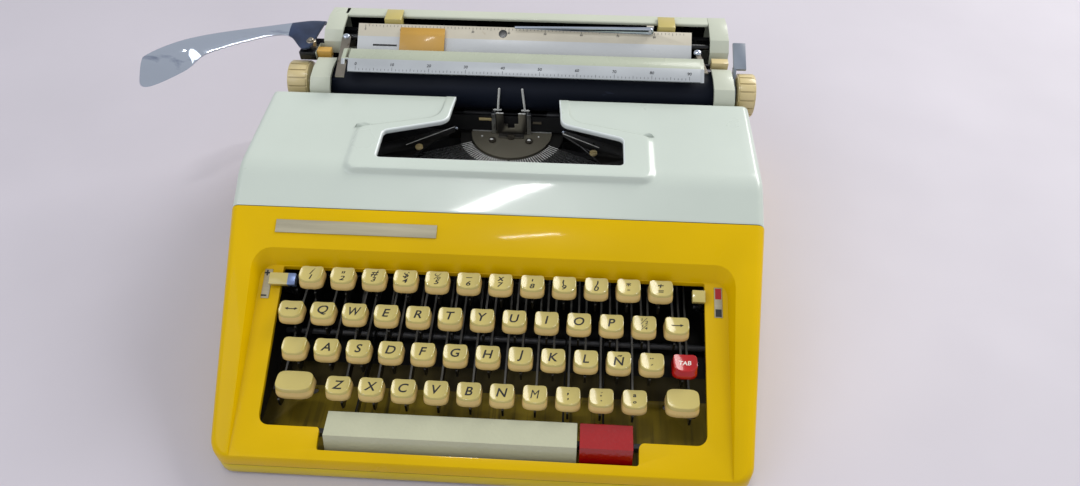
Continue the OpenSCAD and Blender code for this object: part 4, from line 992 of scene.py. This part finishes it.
def cover_border(outer):
    """A point on the cover's edge for each of outer, and the numbers of the two front corners."""
    arc = [0.0]
    for a, b in zip(outer, outer[1:]):
        arc.append(arc[-1] + (b - a).length)
    first, last = (min(range(len(outer)), key=lambda i: (outer[i] - Vector(PANEL_FOOT[k][:2])).length)
                   for k in (0, 1))
    border = []
    for i, at in enumerate(arc):
        if i <= first:
            border.append(Vector((-COVER_HALF, COVER_REAR + (COVER_FRONT - COVER_REAR) * at / arc[first])))
        elif i <= last:
            share = (at - arc[first]) / (arc[last] - arc[first])
            border.append(Vector((-COVER_HALF + 2 * COVER_HALF * share, COVER_FRONT)))
        else:
            share = (at - arc[last]) / (arc[-1] - arc[last])
            border.append(Vector((COVER_HALF, COVER_FRONT + (COVER_REAR - COVER_FRONT) * share)))
    return border, first, last


def rolled_side(bm, edge, side):
    """A rolled edge along a row of points, and the skirt below it."""
    previous = edge
    for k in range(1, ROLL_STEPS + 2):
        a = math.pi / 2 * min(1, k / ROLL_STEPS)
        x = side * (COVER_HALF + ROLL_R * math.sin(a))
        drop = ROLL_R * (1 - math.cos(a))
        row = [bm.verts.new((x, v.co.y, v.co.z - drop if k <= ROLL_STEPS else SKIRT_Z)) for v in edge]
        for corners in zip(previous, previous[1:], row[1:], row):
            bm.faces.new(corners)
        previous = row


def ribbon_cover():
    """One pressed skin with a wall: lip, raised panel, sloped and flat top, rolled sides."""
    inner, outer = u_strip(PANEL), u_strip(PANEL_FOOT)
    border, first, last = cover_border(outer)
    rings = panel_rings(inner, outer)
    for k in range(1, BORDER_STEPS + 1):
        points = [a.lerp(b, k / BORDER_STEPS) for a, b in zip(outer, border)]
        rings.append([(q.x, q.y, cover_base(q.y)) for q in points])
    bm = bmesh.new()
    rows, faces = loop_faces(bm, rings, closed=False)
    # The lip round the opening is painted whiter as a highlight
    for f in faces[:LIP_STEPS * (len(outer) - 1)]:
        f.material_index = 1
    rolled_side(bm, rows[-1][:first + 1], -1)
    rolled_side(bm, rows[-1][last:], 1)
    o = mesh_object("ribbon_cover_shell", bm)
    if sum(f.normal.z * f.area for f in o.data.polygons) < 0:
        o.data.flip_normals()
    edge_modifiers(o, COVER_WALL, 0.5, -1)
    finish_mesh(o, ["mint", "mint_lip_highlight"], BODY["ribbon_cover"], angle=40, slot="cover_mint",
                replaces=("ribbon_cover",))


ribbon_cover()


# Return lever: its rear and front edge, point by point, for the arm and for the finger plate
ARM = [((-137.5, 137.5, 121.0), (-140.5, 104.5, 120.4)), ((-146, 138.0, 121.2), (-147.5, 102.5, 119.6)),
       ((-153, 136.0, 121.3), (-153.0, 112.0, 119.3)), ((-160, 133.6, 121.4), (-160, 121.8, 119.4)),
       ((-172, 129.6, 121.5), (-170, 121.0, 119.3)), ((-186, 125.0, 121.6), (-180, 117.2, 119.0)),
       ((-199, 121.0, 121.6), (-191, 111.8, 118.6)), ((-211, 117.0, 121.6), (-202, 106.2, 118.0)),
       ((-221, 112.8, 121.6), (-212, 99.8, 117.2)), ((-228.5, 109.2, 121.5), (-218.5, 95.0, 115.8))]
PLATE = [((-231.5, 107.6, 121.4), (-224.5, 93.6, 109.6)), ((-236, 104.6, 121.3), (-228.5, 89.4, 108.4)),
         ((-241, 100.6, 121.2), (-234, 83.0, 108.0)), ((-246, 95.6, 121.1), (-240, 75.6, 108.0)),
         ((-250, 90.6, 121.0), (-246, 69.0, 108.4)), ((-252.2, 87.2, 120.8), (-249.4, 66.0, 110.2)),
         ((-252.8, 86.0, 120.6), (-250.6, 66.6, 112.4))]
LEVER_COLUMNS, DARK_ROWS = 7, 3


def lever_row(rear, front, flange, fall, spread, arch):
    """Points across the lever, from its turned-down rear flange to its front edge."""
    rear, front = Vector(rear), Vector(front)
    row = [rear + Vector((0.2, 0.9, -flange)), rear + Vector((0, 0.6, -0.8)), rear]
    for j in range(1, LEVER_COLUMNS + 1):
        t = j / LEVER_COLUMNS
        p = rear.lerp(front, t ** spread)
        p.z = rear.z + (front.z - rear.z) * t ** fall + arch * math.sin(math.pi * t)
        row.append(p)
    return row


def return_lever():
    """Stamped arm with a flange, ending in a finger plate that curls down, and its pivot."""
    rings = [lever_row(rear, front, 3.2, 2.2, 1.0, 0.5) for rear, front in ARM]
    rings += [lever_row(rear, front, 1.6, 1.9, 0.8, 0.0) for rear, front in PLATE]
    bm = bmesh.new()
    faces = loop_faces(bm, rings, closed=False)[1]
    # The rows at the lever's root are painted dark blue as reflection and shade
    for f in faces[:DARK_ROWS * (len(rings[0]) - 1)]:
        f.material_index = 1
    o = mesh_object("return_lever_arm", bm)
    smooth = o.modifiers.new("smooth", "SUBSURF")
    smooth.levels = smooth.render_levels = 2
    edge_modifiers(o, 1.6, 0.4, 0)
    finish_mesh(o, ["chrome", "lever_root_reflection"], BODY["return_lever"], angle=60, slot="chrome",
                replaces=("return_lever",))
    pivot = bmesh.new()
    head = [(0, 2.0), (0, 3.4), (4.6, 3.4), (5.0, 3.0), (5.0, 2.2), (6.0, 2.0), (6.4, 1.5), (6.4, 0.3)]
    lathe(pivot, head, LEVER_PIVOT + (116.8,), (0, 0, 1), 48)
    lathe(pivot, [(0, 0.3), (0, 1.9), (6, 1.9), (6, 0.3)], LEVER_PIVOT + (111.6,), (0, 0, 1), 24)
    add("return_lever_pivot", pivot, "nickel", BODY["return_lever"], slot="chrome")


return_lever()


# Scales, marks and small fittings
def facet(low, high, lift):
    """Placer on a strip along x that slopes from low to high (y, z); t is the distance up from low."""
    up = Vector((0, high[0] - low[0], high[1] - low[1])).normalized()
    base = Vector((0, *low)) + lift * Vector((0, -up.z, up.y))
    return lambda x, t: base + up * t + Vector((x, 0, 0))


def tick(bm, place, x, t0, t1, width=0.22, mat=0):
    """A flat rectangle on a facet."""
    corners = ((x - width / 2, t0), (x + width / 2, t0), (x + width / 2, t1), (x - width / 2, t1))
    bm.faces.new([bm.verts.new(place(a, b)) for a, b in corners]).material_index = mat


def scale_marks(name, place, x0, x1, t_tick, t_number, size, body, up=1):
    """Lines a tenth of an inch apart, longer at each fifth one, with a number at each tenth."""
    step = 25.4 / 10
    bm = bmesh.new()
    for i in range(int((x1 - x0) / step) + 1):
        x = x0 + i * step
        tall = 2.6 if i % 10 == 0 else 2.0 if i % 5 == 0 else 1.4
        tick(bm, place, x, t_tick, t_tick + up * tall)
        if i % 10 == 0:
            lay(bm, letters(str(i), size, shear=0.1), lambda a, b: place(x + a, t_number + b))
    add(name, bm, "tick", body, smooth=False)


def screw_head(name, centre, axis, r, h, mat, body):
    """A low dome."""
    rim = 0.1 * h
    angles = [k / 6 * math.pi / 2 for k in range(6)]
    profile = [(-0.6, r)] + [(rim + (h - rim) * math.sin(a), r * math.cos(a)) for a in angles]
    bm = bmesh.new()
    lathe(bm, profile, centre, axis, 28)
    add(name, bm, mat, body)


def bail_arm(name, pivot, end, width):
    """A steel strip with a round end, from its pivot down to the bail, and the pin at its pivot."""
    pivot, end = Vector(pivot), Vector(end)
    along = (end - pivot).normalized()
    up = Vector((1, 0, 0)).cross(along).normalized()
    up = up if up.z > 0 else -up
    half = Vector((width / 2, 0, 0))
    angles = [math.pi * k / 8 for k in range(9)]
    round_end = [pivot - along * 2.4 * math.sin(a) + half * math.cos(a) for a in angles]
    outline = round_end + [end - half, end + half]
    bm = bmesh.new()
    loop_faces(bm, [[q - up * 0.8 for q in outline], outline], caps=True)
    bevel(bm, 0.25, min_angle=40)
    add("bail_arm_" + name, bm, "nickel", BODY["paper_bail"], slot="steel_bright")
    screw_head("bail_pin_" + name, pivot + up * 0.2, up, 2.6, 1.8, "chrome", BODY["paper_bail"])


def carriage_fittings():
    """Scales on the bail and the paper table, the table's slot and button, screws, the bail's arms."""
    # Lower edge, middle crease and upper edge of the paper table, as (y, z)
    low, crease, high = (107.8, 118.6), (115.5, 124.4), (123.4, 129.6)
    scale_marks("bail_scale_marks", facet((85, 115.6), (93, 120.6), 0.07), CARRIAGE_X - 114,
                CARRIAGE_X + 116, 0.9, 5.6, 2.9, BODY["paper_bail"])
    scale_marks("table_scale_marks", facet(crease, high, 0.09), CARRIAGE_X - 112, CARRIAGE_X + 112,
                8.6, 5.2, 2.0, "carriage", up=-1)
    bm = bmesh.new()
    # The table's slot is a flat black sheet of painted shade
    tick(bm, facet(low, crease, 0.08), -89.2, 2.6, 3.9, width=17)
    add("table_slot", bm, "black", "carriage", smooth=False)
    bm = bmesh.new()
    lathe(bm, [(-0.5, 3.0), (0.1, 3.0), (0.14, 2.6), (0.14, 0.2)], facet(crease, high, 0.0)(-6.3, 4.5),
          (0, -0.55, 0.83), 24)
    add("table_button", bm, "black", "carriage")
    for side, name in ((-1, "left"), (1, "right")):
        screw_head("end_screw_" + name, (CARRIAGE_X + side * 136.7, 124.0, 122.3), (0, -0.2, 0.98), 2.6, 1.6,
                   "chrome", "carriage")
    bail_arm("left", (-118.0, 118.4, 121.5), (-114.6, 77.2, 116.5), 6.2)
    bail_arm("right", (129.4, 111.0, 121.5), (134.0, 92.1, 118.0), 3.4)


def basket_fittings():
    """Small heads on the segment painted white as highlights, screws on the wings, the ribbon's two light
    marks.
    """
    dots = ((-12.2, 71.1, 71.2, 1.3), (1.0, 79.2, 71.0, 1.3), (14.5, 71.5, 71.2, 1.3), (-19.5, 76, 70, 0.7),
            (21, 77, 70, 0.7))
    # These small heads are painted white as highlights
    for n, (x, y, z, r) in enumerate(dots):
        screw_head("segment_dot_%d" % n, (x, y, z), (0, 0, 1), r, 0.5, "bright_edge", BODY["segment"])
    for n, (x, y) in enumerate(((-37.2, 74.1), (39.0, 73.7))):
        screw_head("wing_screw_%d" % n, (x, y, WING_Z), (0, 0, 1), 1.5, 1.1, "chrome", BODY["basket_wings"])
    pads = (("left", -21.5, -11.4, 82.9, "brass"), ("right", 16.8, 22.8, 81.0, "nickel"))
    for name, x0, x1, z, mat in pads:
        bm = bmesh.new()
        prism(bm, [(79.6, z - 1.6), (79.6, z), (80.4, z), (80.4, z - 1.6)], "x", x0, x1)
        add("ribbon_pad_" + name, bm, mat, BODY["ribbon"])


def deck_marks():
    """The marks beside the touch lever and the ribbon colour selector."""
    touch_x, colour_x, wide = -137.8, 136.4, 3.4
    place = facet((-51, 66.5), (-41, 66.5 + 10 * math.tan(DECK_TILT)), 0.47)
    bm = bmesh.new()
    tick(bm, place, touch_x, -5.9, -4.9, wide)
    tick(bm, place, touch_x, -20.3, -19.3, wide)
    tick(bm, place, touch_x, -7.2, -3.6, 1.0)
    add("touch_marks", bm, "tick", "case", smooth=False)
    bm = bmesh.new()
    tick(bm, place, colour_x, -10.2, -3.6, wide + 0.2)
    tick(bm, place, colour_x, -21.0, -16.4, wide + 0.2, mat=1)
    add("colour_marks", bm, ["red", "tick"], "case", smooth=False)


carriage_fittings()
basket_fittings()
deck_marks()


# Floor, light and camera, in metres
def area(name, place, target, width, height, power, colour=(1, 1, 1)):
    """A rectangular lamp that looks at a target."""
    lamp = bpy.data.lights.new(name, "AREA")
    lamp.shape = "RECTANGLE"
    lamp.size, lamp.size_y = width, height
    lamp.energy = power
    lamp.color = colour
    o = linked(name, lamp)
    o.location = place
    o.rotation_euler = (Vector(target) - Vector(place)).to_track_quat("-Z", "Y").to_euler()
    return o


def stage():
    """A plain pale floor under a soft sky, a window at the rear right, a weak fill, a ceiling tube."""
    half = 4.0
    corners = [(-half, -half, 0), (half, -half, 0), (half, half, 0), (-half, half, 0)]
    mesh = bpy.data.meshes.new("floor")
    mesh.from_pydata(corners, [], [(0, 1, 2, 3)])
    mesh.materials.append(M["floor"])
    o = linked("floor", mesh)

    world = bpy.data.worlds.new("world")
    scene.world = world
    world.use_nodes = True
    sky = world.node_tree.nodes["Background"]
    sky.inputs[0].default_value = (0.90, 0.93, 1.0, 1)
    sky.inputs[1].default_value = 0.55

    area("window", (1.5, 1.3, 1.5), (0, 0, 0.05), 1.4, 1.2, 38, (1.0, 0.99, 0.97))
    area("fill", (-1.4, -1.0, 1.6), (0, 0, 0.05), 1.6, 1.2, 10, (0.93, 0.96, 1.0))
    tube = area("ceiling_tube", (-0.126, -0.228, 1.5), (-0.126, -0.228, 0), 0.26, 0.022, 2.2)
    tube.rotation_euler = (0, 0, math.radians(24.4))


def camera():
    """The camera, worked out from the number keys and the rows under them in the photograph."""
    place = Vector((0.0473, -0.363, 0.4282))
    down, yaw, roll = math.radians(46.78), math.radians(-3.31), math.radians(-0.11)
    frame_px, focal_px, sensor_mm = 1080, 786.0, 36.0
    forward = Vector((math.sin(yaw) * math.cos(down), math.cos(yaw) * math.cos(down), -math.sin(down)))
    level = Vector((math.cos(yaw), -math.sin(yaw), 0))
    upward = level.cross(forward)
    right = math.cos(roll) * level + math.sin(roll) * upward
    top = math.cos(roll) * upward - math.sin(roll) * level
    data = bpy.data.cameras.new("camera")
    data.sensor_width = sensor_mm
    data.lens = focal_px / frame_px * sensor_mm
    data.clip_start = 0.01
    o = linked("camera", data)
    o.matrix_world = Matrix.Translation(place) @ Matrix((right, top, -forward)).transposed().to_4x4()
    scene.camera = o


stage()
camera()
scene.view_settings.view_transform = "Standard"
